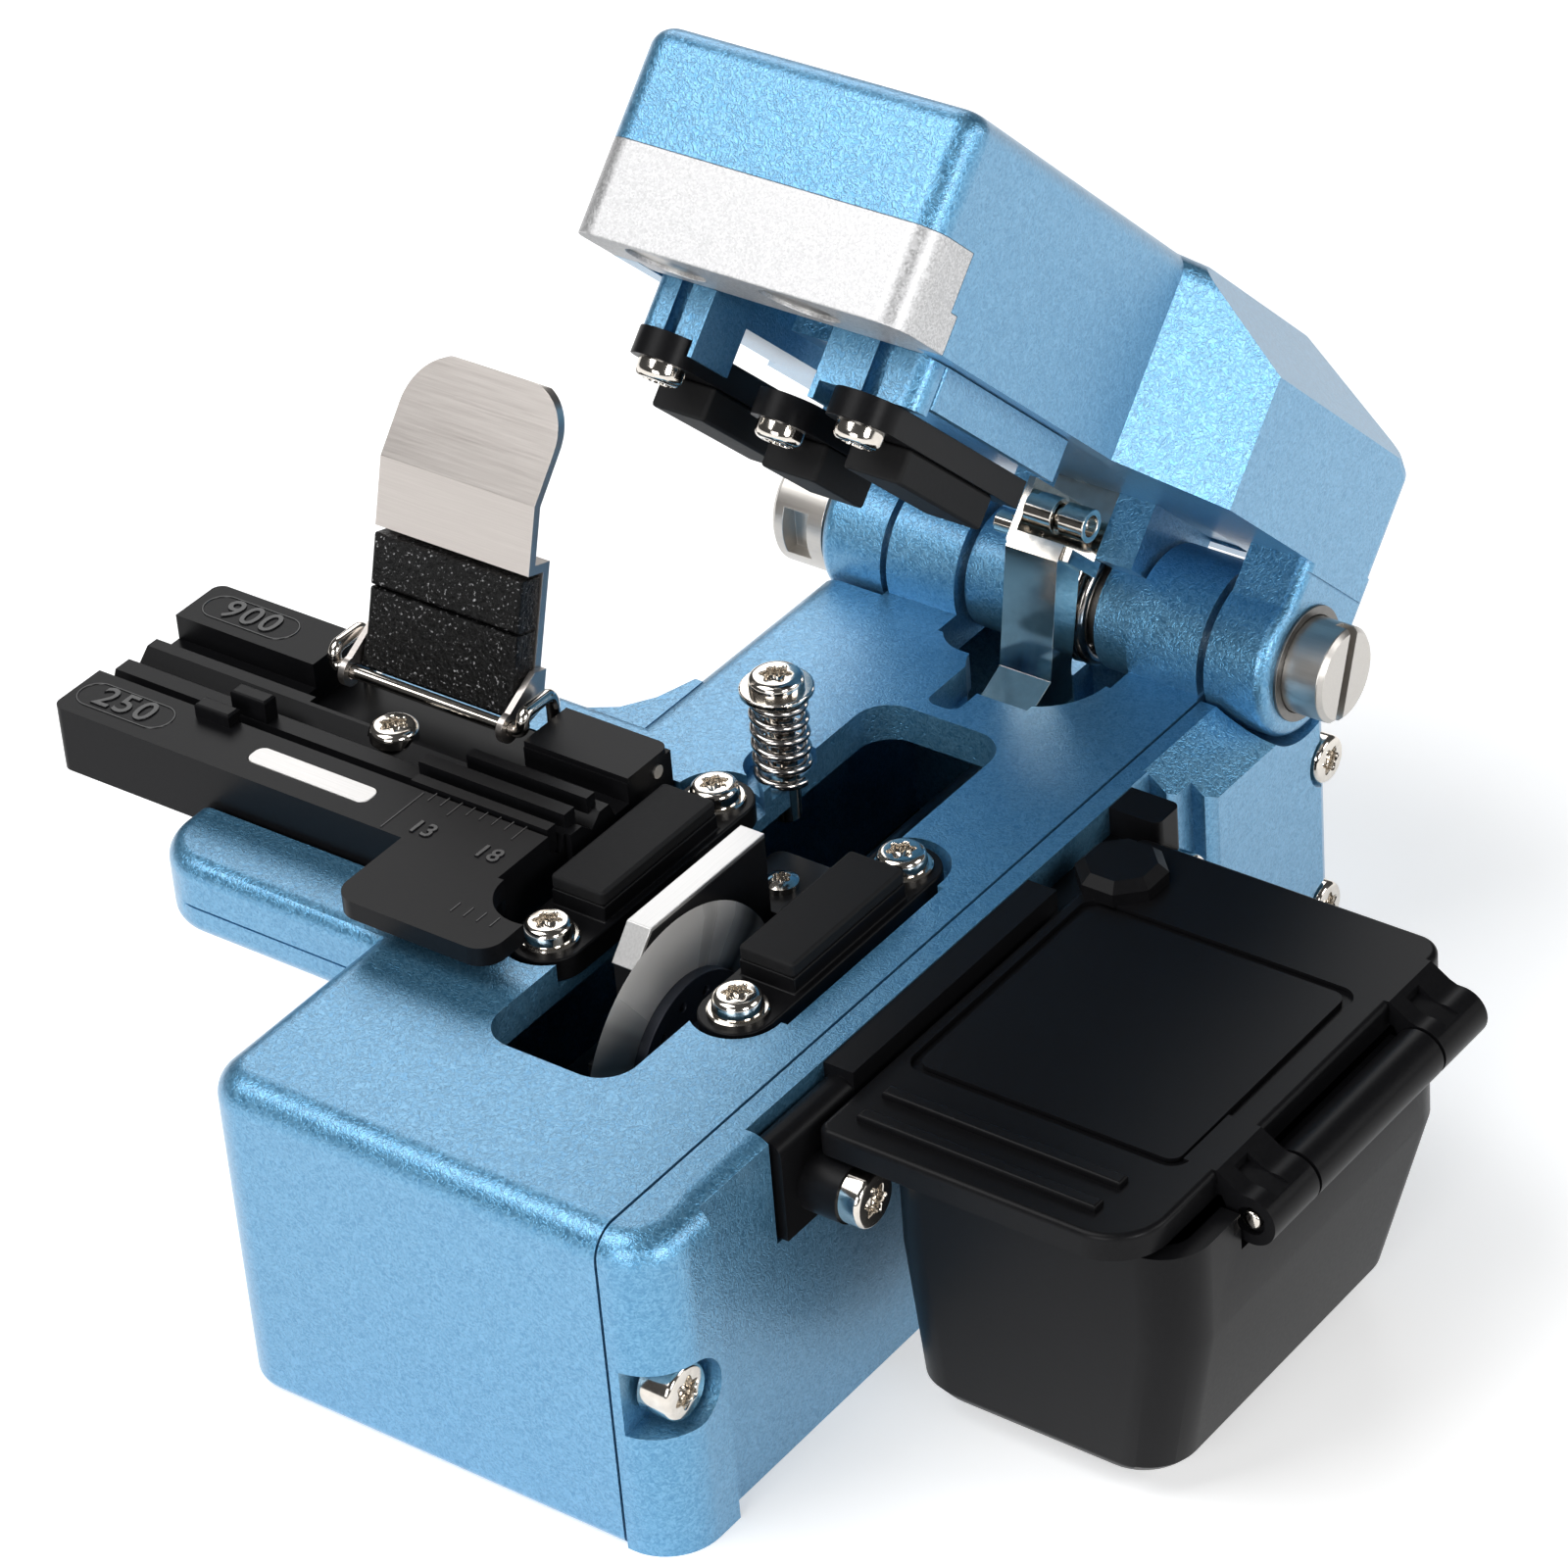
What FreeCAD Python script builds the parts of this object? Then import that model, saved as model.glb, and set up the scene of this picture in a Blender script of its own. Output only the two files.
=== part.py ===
"""Fibre cleaver: lid-driven, with a three-way fibre holder, a sliding blade carriage and a waste bin.

Frame: X to the right along the front, Y away to the lid hinge, Z up, all in mm.  The origin is on the
bench, straight below the point where the blade meets the fibre (fibre along X at Y = 0).
The lid stands open, the fibre clamp stands up and the bin lid is shut: the rest pose.
"""
import FreeCAD
import Part
import math
import os

V = FreeCAD.Vector
X_AXIS = V(1, 0, 0)
Y_AXIS = V(0, 1, 0)
Z_AXIS = V(0, 0, 1)

# ---- driving dimensions (mm) ----
BASE_LEFT, SEAM_X, BASE_FRONT, BASE_REAR = -16.75, 12.75, -30.0, 42.5
BASE_TOP = 23.0                 # height of the machined top face
BASE_FOOT = 0.0                 # underside of housing, cover, bottom plate and the flush rubber feet
WALL = 2.5                      # housing wall
FRONT_RADIUS = 3.0
TOP_RADIUS = 2.0
WING_LEFT, WING_FRONT, WING_REAR = -34.8, -14.0, 13.0
WING_BOTTOM = 17.4
LEDGE_Z = 21.3                  # floor of the holder channel and of the clamp-pad pockets
CHANNEL_FRONT, CHANNEL_REAR = -8.6, 8.5
COVER_RIGHT, FLANGE_RIGHT = 16.5, 16.9
FLANGE_END = -24.4              # the thick front flange of the cover ends here
COVER_POCKET_X = 14.3           # floor of the bracket pocket in the cover

HINGE_Y, HINGE_Z = 37.5, 24.3   # lid hinge axis, along X
LID_OPEN = 44.0                 # degrees the lid stands open at rest
KNUCKLE_R, EAR_R, SLEEVE_R = 5.0, 5.0, 4.2
SHAFT_R = 3.15
RUN_FIT = 0.05                  # radial play of every turning fit
GAP = 0.35                      # plain clearance between moving bodies

SLOT_LEFT, SLOT_RIGHT, SLOT_FRONT, SLOT_REAR = -4.9, 5.3, -18.4, 22.4
PAD_X = 7.05                    # clamp pads sit left and right of the blade
PAD_WIDTH, PAD_LENGTH, PAD_TOP = 4.0, 11.4, 25.0
PAD_SCREW_Y = (-8.5, 8.2)

BLADE_R, BLADE_THICK = 9.6, 0.45
BLADE_Y, BLADE_Z = -5.7, 15.3
CARRIAGE_TRAVEL = 17.5

POST_X, POST_Y = -5.7, 13.4     # spring post the closing lid bears on
POST_TRAVEL = 3.0

HOLDER_LEFT, HOLDER_RIGHT, HOLDER_FRONT, HOLDER_REAR = -46.8, -10.2, -8.2, 8.1
HOLDER_TOP = 26.0
TAB_FRONT = -15.0
CLAMP_Y, CLAMP_Z = 4.6, 25.9    # axle of the fibre clamp, along X
CLAMP_OPEN = 106.0              # degrees the clamp stands open at rest
CLAMP_LEFT, CLAMP_RIGHT = -32.65, -20.4
WIRE_R = 0.45

LID_FRONT, LID_REAR = -12.9, 42.3
LID_HALF, LID_HALF_REAR = 11.8, 17.3
LID_BOTTOM, LID_SEAM, LID_TOP = 30.0, 36.0, 43.2
FLARE_START, FLARE_END = 15.0, 21.0
LID_WALL = 1.8
ARM_LEFT, ARM_RIGHT = -0.4, 3.5   # drive arm
EAR_BLOCK_FRONT = 33.2          # front of the blocks that stand the lid on its hinge ears
UPPER_TOP, UPPER_BOTTOM = 26.75, 25.0   # bars of the two side clamps in the lid, lid shut
ANVIL_TOP, ANVIL_BAR, ANVIL_BOTTOM = 25.75, 24.05, 21.7

BIN_LEFT, BIN_RIGHT, BIN_FRONT, BIN_REAR = 19.5, 40.4, -12.5, 16.4
BIN_BOTTOM, BIN_RIM = 1.2, 19.9
BIN_WALL = 1.3
BIN_HINGE_X, BIN_HINGE_Z = 40.8, 19.3
BIN_PIN_R, BIN_EAR_R = 0.6, 1.65
EAR_SPANS = ((-5.9, -1.2), (12.6, 17.3))   # front and rear ear of the bin lid
BIN_BARREL = (-0.95, 12.35)     # the bin's own barrel between them
PLATE_LEFT, PLATE_RIGHT, PLATE_FRONT, PLATE_REAR = 16.8, 38.6, -14.4, 19.4
PLATE_Z, PLATE_TOP = 20.25, 22.0

os.makedirs("parts", exist_ok=True)


# ---- small shape helpers ----
def box(x0, x1, y0, y1, z0, z1):
    """Axis-parallel block between two corners."""
    return Part.makeBox(x1 - x0, y1 - y0, z1 - z0, V(x0, y0, z0))


def rod(radius, start, end):
    """Cylinder from one point to another."""
    a, b = V(*start), V(*end)
    return Part.makeCylinder(radius, (b - a).Length, a, b - a)


def rod_x(radius, x0, x1, y, z):
    return rod(radius, (x0, y, z), (x1, y, z))


def rod_y(radius, y0, y1, x, z):
    return rod(radius, (x, y0, z), (x, y1, z))


def rod_z(radius, z0, z1, x, y):
    return rod(radius, (x, y, z0), (x, y, z1))


def prism(points, axis, start, end):
    """Polygon drawn in the plane across `axis` and pulled along it.

    For axis "x" the points are (y, z), for "y" they are (x, z), for "z" they are (x, y).
    """
    if axis == "x":
        corners = [V(start, a, b) for a, b in points]
        pull = V(end - start, 0, 0)
    elif axis == "y":
        corners = [V(a, start, b) for a, b in points]
        pull = V(0, end - start, 0)
    else:
        corners = [V(a, b, start) for a, b in points]
        pull = V(0, 0, end - start)
    return Part.Face(Part.makePolygon(corners + corners[:1])).extrude(pull)


def solids_of(shapes):
    """Every solid in a mix of shapes and lists of shapes."""
    flat = []
    for item in shapes:
        for shape in (item if isinstance(item, (list, tuple)) else [item]):
            flat.extend(shape.Solids)
    return flat


def join(*shapes):
    """Union of shapes and lists of shapes."""
    flat = solids_of(shapes)
    whole = flat[0]
    if len(flat) > 1:
        whole = whole.multiFuse(flat[1:])
    return whole.removeSplitter()


def carve(shape, *tools):
    """Shape with every tool taken away."""
    flat = solids_of(tools)
    left = shape.cut(flat[0].multiFuse(flat[1:]) if len(flat) > 1 else flat[0])
    return left.Solids[0] if len(left.Solids) == 1 else left


def edges_where(shape, test):
    """Straight edges whose middle point and direction pass the test."""
    found = []
    for edge in shape.Edges:
        if edge.Length < 1e-4:
            continue
        first, last = edge.Vertexes[0].Point, edge.Vertexes[-1].Point
        middle = (first + last) * 0.5
        if test(middle, (last - first)):
            found.append(edge)
    return found


def rounded(shape, radius, test):
    """Shape with the edges that pass the test rounded."""
    return shape.makeFillet(radius, edges_where(shape, test))


def upright(direction):
    return abs(direction.z) > 0.1 and abs(direction.x) + abs(direction.y) < 1e-6


def at_height(z, slack=1e-4):
    return lambda middle, direction: abs(middle.z - z) < slack and abs(direction.z) < 1e-6


def turned(shape, degrees, y, z):
    """Shape turned about a line along X through (y, z)."""
    copy = shape.copy()
    copy.rotate(V(0, y, z), X_AXIS, degrees)
    return copy


def opened(shape):
    """Lid piece moved from its shut place to its open rest place."""
    return turned(shape, -LID_OPEN, HINGE_Y, HINGE_Z)


def clamp_opened(shape):
    """Fibre-clamp piece moved from its shut place to its open rest place."""
    return turned(shape, -CLAMP_OPEN, CLAMP_Y, CLAMP_Z)


def capsule(x, y0, y1, radius, z0, z1):
    """Flat plate with round ends, running along Y."""
    return join(box(x - radius, x + radius, y0, y1, z0, z1),
                rod_z(radius, z0, z1, x, y0), rod_z(radius, z0, z1, x, y1))


def pill(x, y, half_length, radius, z0, z1):
    """Flat plate with round ends, running along X."""
    return join(box(x - half_length, x + half_length, y - radius, y + radius, z0, z1),
                rod_z(radius, z0, z1, x - half_length, y), rod_z(radius, z0, z1, x + half_length, y))


def slab(x0, x1, y0, y1, z0, z1, radius):
    """Block with its four upright edges rounded."""
    return rounded(box(x0, x1, y0, y1, z0, z1), radius, lambda m, d: upright(d))


def lobes(radius, depth):
    """Six-lobed driver recess, cut downwards from Z = 0."""
    core = Part.makeCylinder(radius * 0.62, depth, V(0, 0, -depth))
    arms = []
    for k in range(6):
        angle = math.radians(60 * k)
        spot = V(math.cos(angle) * radius * 0.62, math.sin(angle) * radius * 0.62, -depth)
        arms.append(Part.makeCylinder(radius * 0.30, depth, spot))
    return join(core, arms)


def pan_screw(head_r, head_h, shank_r, shank_l):
    """Domed pan-head screw standing on Z = 0 with its shank below."""
    rim = head_h * 0.6
    profile = [V(0, 0, 0), V(head_r, 0, 0), V(head_r, 0, rim)]
    side = Part.makePolygon(profile)
    sphere = (head_r ** 2 + (head_h - rim) ** 2) / (2 * (head_h - rim))
    half_way = head_h - sphere + math.sqrt(sphere ** 2 - (head_r / 2) ** 2)
    dome = Part.Arc(V(head_r, 0, rim), V(head_r / 2, 0, half_way), V(0, 0, head_h))
    face = Part.Face(Part.Wire(side.Edges + [dome.toShape(), Part.makeLine(V(0, 0, head_h), V(0, 0, 0))]))
    head = face.revolve(V(0, 0, 0), Z_AXIS, 360)
    recess = lobes(head_r * 0.62, head_h * 0.65)
    recess.translate(V(0, 0, head_h))
    screw = carve(head, recess)
    return join(screw, Part.makeCylinder(shank_r, shank_l, V(0, 0, -shank_l)))


def aimed(shape, direction, place):
    """Shape drawn along +Z, turned to a direction and set down at a place."""
    copy = shape.copy()
    turn = FreeCAD.Rotation(Z_AXIS, V(*direction))
    copy.Placement = FreeCAD.Placement(V(*place), turn)
    return copy


def coil(mean_r, wire_r, pitch, turns):
    """Wire coil climbing +Z from the origin."""
    helix = Part.makeHelix(pitch, pitch * turns, mean_r)
    ring = Part.Wire(Part.makeCircle(wire_r, V(mean_r, 0, 0), Y_AXIS))
    return Part.Wire(helix).makePipeShell([ring], True, True)


def export(name, *shapes):
    """Write one named piece."""
    flat = solids_of(shapes)
    whole = flat[0] if len(flat) == 1 else Part.makeCompound(flat)
    whole.exportStep("parts/" + name + ".step")


# ---- base: housing, side cover, bottom ----
def ear_reliefs(grow):
    """Room around the lid's hinge ears over their whole swing."""
    rooms = []
    for x0, x1 in ((BASE_LEFT - 1.0, -11.5), (SEAM_X - 0.15, 18.5)):
        rooms.append(rod_x(EAR_R + grow, x0, x1, HINGE_Y, HINGE_Z))
    return rooms


def base_housing():
    block = box(BASE_LEFT, SEAM_X - 0.05, BASE_FRONT, BASE_REAR, BASE_FOOT, BASE_TOP)
    block = rounded(block, FRONT_RADIUS, lambda m, d: upright(d) and m.x < 0)
    block = rounded(block, TOP_RADIUS, lambda m, d: abs(m.z - BASE_TOP) < 1e-4 and (
        m.x < BASE_LEFT + 2 or m.y < BASE_FRONT + 1.5))
    block = rounded(block, 0.8, lambda m, d: abs(m.z - BASE_FOOT) < 1e-4 and m.x < SEAM_X - 1)
    wing = box(WING_LEFT, BASE_LEFT + 3, WING_FRONT, WING_REAR, WING_BOTTOM, BASE_TOP)
    wing = rounded(wing, 4.0, lambda m, d: upright(d) and m.x < WING_LEFT + 1)
    wing = rounded(wing, 1.3, at_height(BASE_TOP))
    wing = rounded(wing, 1.2, at_height(WING_BOTTOM))
    web = prism([(BASE_LEFT + 1, WING_REAR - 2), (-21.0, WING_REAR - 1.0), (-18.6, WING_REAR + 0.5),
                 (-17.2, WING_REAR + 2.6), (BASE_LEFT + 0.4, WING_REAR + 5.5), (BASE_LEFT + 1, WING_REAR + 5.5)],
                "z", WING_BOTTOM + 1.0, BASE_TOP - 0.2)
    knuckles = []
    for x0, x1 in ((-11.3, -6.0), (7.2, 12.4)):
        knuckles.append(rod_x(KNUCKLE_R, x0, x1, HINGE_Y, HINGE_Z))
        knuckles.append(box(x0, x1, HINGE_Y - 4.8, BASE_REAR, BASE_TOP - 3, HINGE_Z))
    body = join(block, wing, web, knuckles)

    cavity = box(BASE_LEFT + WALL, SEAM_X - WALL, BASE_FRONT + WALL, BASE_REAR - 4.5, 0, 20.4)
    slot = slab(SLOT_LEFT, SLOT_RIGHT, SLOT_FRONT, SLOT_REAR, 15, BASE_TOP + 1, 2.4)
    pockets = []
    for side in (-1, 1):
        x = side * PAD_X
        pockets.append(capsule(x, PAD_SCREW_Y[0], PAD_SCREW_Y[1], 3.0, LEDGE_Z, BASE_TOP + 1))
        pockets.append(box(min(0, side * 10.5), max(0, side * 10.5), -8.3, 7.6, LEDGE_Z, BASE_TOP + 1))
        for y in PAD_SCREW_Y:
            pockets.append(rod_z(0.85, 18, BASE_TOP, x, y))
    channel = box(WING_LEFT - 1, -8.0, CHANNEL_FRONT, CHANNEL_REAR, LEDGE_Z, BASE_TOP + 1)
    sleeve_room = join(box(-6.0, 7.2, 30.6, BASE_REAR + 1, 17.0, BASE_TOP + 8),
                       rod_z(2.6, 17.0, BASE_TOP + 1, -3.4, 32.0), rod_z(2.6, 17.0, BASE_TOP + 1, 4.6, 32.0),
                       box(-3.4, 4.6, 29.4, 32.0, 17.0, BASE_TOP + 1))
    swing = rod_x(11.7, ARM_LEFT - 0.5, ARM_RIGHT + 0.6, HINGE_Y, HINGE_Z)
    lever_sweep = swing.common(box(-2, 5, 25.6, 40.2, 8, BASE_TOP + 12))
    lever_room = join(lever_sweep, rod_z(4.9, 12.0, BASE_TOP + 1, 1.95, 30.8))
    notch = slab(-2.1, 0.3, 23.5, 30.0, BASE_TOP - 2.2, BASE_TOP + 1, 0.8)
    post_seat = join(rod_z(2.5, BASE_TOP - 1.1, BASE_TOP + 1, POST_X, POST_Y), rod_z(1.0, 19, BASE_TOP, POST_X, POST_Y))
    shaft_bore = rod_x(SHAFT_R, -12, 13, HINGE_Y, HINGE_Z)
    parting = box(WING_LEFT - 1, BASE_LEFT, WING_FRONT - 1, WING_FRONT + 0.15, 19.65, 19.8)
    seats = [rod_x(1.0, SEAM_X - 6, SEAM_X + 1, y, z) for y, z in COVER_SCREWS]
    return carve(body, cavity, slot, pockets, channel, sleeve_room, lever_room, notch, post_seat,
                 shaft_bore, parting, ear_reliefs(0.45), seats)


COVER_SCREWS = ((-27.2, 11.2), (39.6, 15.8), (39.0, 4.8))   # (y, z) of the three cover screws
BRACKET_SCREWS = ((-14.0, 17.9), (21.0, 18.3))              # (y, z) of the two bracket screws


def side_cover():
    slabs = box(SEAM_X + 0.05, COVER_RIGHT, BASE_FRONT, BASE_REAR, BASE_FOOT, BASE_TOP)
    slabs = rounded(slabs, 3.2, lambda m, d: upright(d) and m.x > 15 and m.y < 0)
    slabs = rounded(slabs, 3.0, lambda m, d: upright(d) and m.x > 15 and m.y > 0)
    slabs = rounded(slabs, TOP_RADIUS - 0.2, lambda m, d: abs(m.z - BASE_TOP) < 1e-4 and (
        m.x > COVER_RIGHT - 1.2 or m.y < BASE_FRONT + 0.5))
    flange = box(SEAM_X + 0.1, FLANGE_RIGHT, BASE_FRONT, FLANGE_END, BASE_FOOT, BASE_TOP)
    flange = rounded(flange, 3.6, lambda m, d: upright(d) and m.x > 15 and m.y < -29)
    flange = rounded(flange, TOP_RADIUS, lambda m, d: abs(m.z - BASE_TOP) < 1e-4 and (
        m.x > FLANGE_RIGHT - 1.5 or m.y < BASE_FRONT + 0.5))
    pillar = box(COVER_RIGHT - 0.5, 17.3, 26.4, 39.5, BASE_FOOT, 21.7)
    pillar = rounded(pillar, 0.7, lambda m, d: upright(d) and m.x > 17)
    pillar = rounded(pillar, 0.6, lambda m, d: abs(m.z - 21.7) < 1e-4 and m.x > 17)
    pocket = box(COVER_POCKET_X, 18, -17.6, 24.2, 13.5, BASE_TOP + 1)
    ramp = prism([(COVER_POCKET_X, 22.0), (18.0, 22.0), (18.0, 28.5)], "z", 13.5, BASE_TOP + 1)
    screw_y, screw_z = COVER_SCREWS[0]
    notch = join(rod_x(2.35, 13.6, 18, screw_y, screw_z), box(13.6, 18, BASE_FRONT - 1, screw_y, screw_z - 2.35, screw_z + 2.35))
    holes = [rod_x(1.0, SEAM_X - 1, 18, y, z) for y, z in COVER_SCREWS]
    holes += [rod_x(1.0, SEAM_X, 18, y, z) for y, z in BRACKET_SCREWS]
    counterbores = [rod_x(1.9, 16.5, 19, y, z) for y, z in COVER_SCREWS[1:]]
    chamfer = prism([(13.9, BASE_TOP + 0.1), (18.0, BASE_TOP + 0.1), (18.0, BASE_TOP - 3.4)], "y", 24.0, 44.0)
    return carve(join(slabs, flange, pillar), pocket, ramp, notch, holes, counterbores, chamfer, ear_reliefs(0.45))


def bottom_plate():
    plate = box(BASE_LEFT + WALL, SEAM_X - WALL, BASE_FRONT + WALL, BASE_REAR - 4.5, BASE_FOOT, 1.8)
    holes = [rod_z(1.9, -0.1, 1.2, x, y) for x in (-11.2, 7.2) for y in (-24.6, 34.4)]
    return carve(plate, holes)


export("base_housing", base_housing())
export("side_cover", side_cover())
export("bottom_plate", bottom_plate())
export("base_feet", [rod_z(1.9, 0.0, 1.2, x, y) for x in (-11.2, 7.2) for y in (-24.6, 34.4)])

cover_screw = pan_screw(1.6, 1.1, 0.98, 5.0)
front_y, front_z = COVER_SCREWS[0]
front_screw = join(rod_x(1.55, 13.65, 15.2, front_y, front_z), aimed(cover_screw, (1, 0, 0), (15.2, front_y, front_z)))
rear_screws = [aimed(cover_screw, (1, 0, 0), (16.55, y, z)) for y, z in COVER_SCREWS[1:]]
export("cover_screws", front_screw, rear_screws)

# ---- blade carriage on its two guide rods ----
ROD_X, ROD_Z, ROD_R = 6.6, 8.0, 1.5
rods = [rod_y(ROD_R, BASE_FRONT + WALL, BASE_REAR - 4.5, side * ROD_X, ROD_Z) for side in (-1, 1)]
export("guide_rods", rods)


CARRIAGE_SCREWS = ((-1.6, BLADE_Y + 12.9, 19.0), (-4.0, BLADE_Y + 13.2, 10.4), (4.0, BLADE_Y + 13.2, 10.4))


def carriage_block():
    """Slider on the guide rods with the upright that carries the blade."""
    slider = slab(-9.3, 9.3, BLADE_Y - 7.0, BLADE_Y + 16.0, 5.4, 10.4, 1.2)
    web = box(-2.25, -0.45, BLADE_Y - 6.0, BLADE_Y + 16.0, 9.0, 17.4)
    shelf = slab(-4.2, 2.6, BLADE_Y + 10.4, BLADE_Y + 16.0, 15.0, 19.0, 0.8)
    bores = [rod_y(ROD_R + RUN_FIT, BLADE_Y - 8, BLADE_Y + 17, side * ROD_X, ROD_Z) for side in (-1, 1)]
    bores += [rod_z(0.72, z - 2.7, z + 1, x, y) for x, y, z in CARRIAGE_SCREWS]
    blade_room = rod_x(BLADE_R + GAP, -0.35, 3.0, BLADE_Y, BLADE_Z)
    axle = rod_x(1.25, -0.45, -0.05, BLADE_Y, BLADE_Z)
    return join(carve(join(slider, web, shelf), bores, blade_room), axle)


def guard_wall():
    """Upright plate on the holder side of the blade, its front corner bevelled."""
    y0, y1, top = -8.5, 4.5, 24.7
    outline = [(y0, 9.2), (y1, 9.2), (y1, top), (y0 + 1.7, top), (y0, top - 1.9)]
    return prism(outline, "x", -2.2, -0.4)


def guard_rail():
    """Bare machined strip along the top and the bevel of the guard wall."""
    y0, y1, top = -8.5, 4.5, 24.7
    outline = [(y0, top - 1.9), (y0 + 1.7, top), (y1, top), (y1, top + 0.3), (y0 + 1.6, top + 0.3), (y0 - 0.2, top - 1.75)]
    return prism(outline, "x", -2.2, -0.4)


web_cut = box(-2.3, -0.3, -8.6, 4.6, 9.1, 25)
export("carriage_block", carve(carriage_block(), carve(web_cut, rod_x(1.3, -3, 1, BLADE_Y, BLADE_Z))))
export("guard_wall", carve(guard_wall(), rod_x(1.3, -3, 1, BLADE_Y, BLADE_Z)))
export("guard_rail", guard_rail())
small_screw = pan_screw(1.1, 0.7, 0.7, 2.5)
export("carriage_screws", [aimed(small_screw, (0, 0, 1), spot) for spot in CARRIAGE_SCREWS])


def blade_wheel():
    """Thin disc ground to an edge on both faces."""
    half = BLADE_THICK / 2
    rim = BLADE_R - 0.8
    points = [V(-half, 0, 0), V(-half, 0, rim), V(0, 0, BLADE_R), V(half, 0, rim), V(half, 0, 0)]
    face = Part.Face(Part.makePolygon(points + points[:1]))
    disc = face.revolve(V(0, 0, 0), X_AXIS, 360)
    disc.translate(V(0.25, BLADE_Y, BLADE_Z))
    return carve(disc, rod_x(1.25 + RUN_FIT, -1, 2, BLADE_Y, BLADE_Z))


def blade_hub():
    """Clamp disc with a ring of drive holes and its turned boss."""
    disc = rod_x(5.6, 0.475, 1.25, BLADE_Y, BLADE_Z)
    boss = rod_x(2.6, 1.25, 1.9, BLADE_Y, BLADE_Z)
    holes = []
    for k in range(12):
        angle = math.radians(30 * k + 12)
        holes.append(rod_x(0.3, 0.9, 2, BLADE_Y + 4.4 * math.cos(angle), BLADE_Z + 4.4 * math.sin(angle)))
    return carve(join(disc, boss), holes, rod_x(0.92, 0, 3, BLADE_Y, BLADE_Z))


export("blade_wheel", blade_wheel())
export("blade_hub", blade_hub())
export("hub_screw", aimed(pan_screw(1.5, 0.8, 0.9, 1.6), (1, 0, 0), (1.9, BLADE_Y, BLADE_Z)))

# ---- lower clamp pads ----
lower_holders, lower_pads, lower_screws = [], [], []
pad_screw = pan_screw(1.75, 1.25, 0.84, 4.5)
for side in (-1, 1):
    x = side * PAD_X
    plate = capsule(x, PAD_SCREW_Y[0], PAD_SCREW_Y[1], 2.45, LEDGE_Z, 22.9)
    bar = box(x - PAD_WIDTH / 2, x + PAD_WIDTH / 2, -5.6, -5.6 + PAD_LENGTH, 22.0, 24.0)
    lower_holders.append(carve(join(plate, bar), [rod_z(0.84, 20, 24, x, y) for y in PAD_SCREW_Y]))
    lower_pads.append(slab(x - PAD_WIDTH / 2, x + PAD_WIDTH / 2, -5.6, -5.6 + PAD_LENGTH, 24.0, PAD_TOP, 0.3))
    lower_screws.extend(aimed(pad_screw, (0, 0, 1), (x, y, 22.9)) for y in PAD_SCREW_Y)
export("lower_pad_holders", lower_holders)
export("lower_pads", lower_pads)
export("lower_pad_screws", lower_screws)

# ---- fibre holder ----
def fibre_holder():
    """Black bar with fibre grooves, a ruler tab, two lead-in clips and a well for the clamp."""
    bar = slab(HOLDER_LEFT, HOLDER_RIGHT, HOLDER_FRONT, HOLDER_REAR, LEDGE_Z, HOLDER_TOP, 0.8)
    tab = slab(-18.3, -6.3, TAB_FRONT, HOLDER_FRONT + 2, 24.7, HOLDER_TOP, 1.6)
    groove_floor = [(-3.6, HOLDER_TOP + 1), (-3.6, 24.9), (-2.7, 24.2), (-2.2, 25.3), (-0.9, 25.3), (0.0, 24.5),
                    (0.9, 25.3), (1.8, 25.3), (2.3, 24.2), (3.8, 24.2), (3.8, HOLDER_TOP + 1)]
    grooves = prism(groove_floor, "x", HOLDER_LEFT - 1, HOLDER_RIGHT + 1)
    well = slab(-35.3, -18.3, 2.0, HOLDER_REAR + 1, 23.2, HOLDER_TOP + 1, 0.5)
    front_well = box(-33.5, -19.2, 1.2, 4.0, 24.3, HOLDER_TOP + 1)
    notch = join(rod_z(3.1, 20, HOLDER_TOP + 1, -PAD_X, PAD_SCREW_Y[0]), box(-10.6, -4, -8.5, -2.0, 20, HOLDER_TOP + 1))
    inlay = slab(-32.2, -22.5, -6.7, -4.9, HOLDER_TOP - 0.4, HOLDER_TOP + 1, 0.7)
    screw_seat = rod_z(1.75, 24.9, HOLDER_TOP + 1, -26.7, 1.3)
    screw_bore = rod_z(0.92, 21, 25, -26.7, 1.3)
    wire_holes = [rod_z(WIRE_R + 0.02, WIRE_FOOT, 24, x, WIRE_REAR) for x in (WIRE_LEFT, WIRE_RIGHT)]
    body = carve(join(bar, tab), grooves, well, front_well, notch, inlay, screw_seat, screw_bore, wire_holes)
    rear_block = box(-18.3, HOLDER_RIGHT, 3.7, HOLDER_REAR, 23.0, HOLDER_TOP - 0.4)
    combs = [box(-21.5, -10.9, -3.3, -2.5, 24.0, 26.2), box(-22.3, -10.9, -1.6, -0.6, 24.0, 26.3),
             box(-20.3, -10.9, 0.6, 1.4, 24.0, 26.2)]
    clips = []
    for x, y in ((-36.6, -3.9), (-35.6, -1.6)):
        clips.append(rounded(box(x - 1.4, x + 1.4, y - 0.55, y + 0.55, 24.4, 26.9), 0.2, at_height(26.9)))
    pin_bore = rod_x(0.47, -12.5, HOLDER_RIGHT + 1, 6.6, 24.9)
    return carve(join(body, rear_block, combs, clips), pin_bore)


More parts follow.
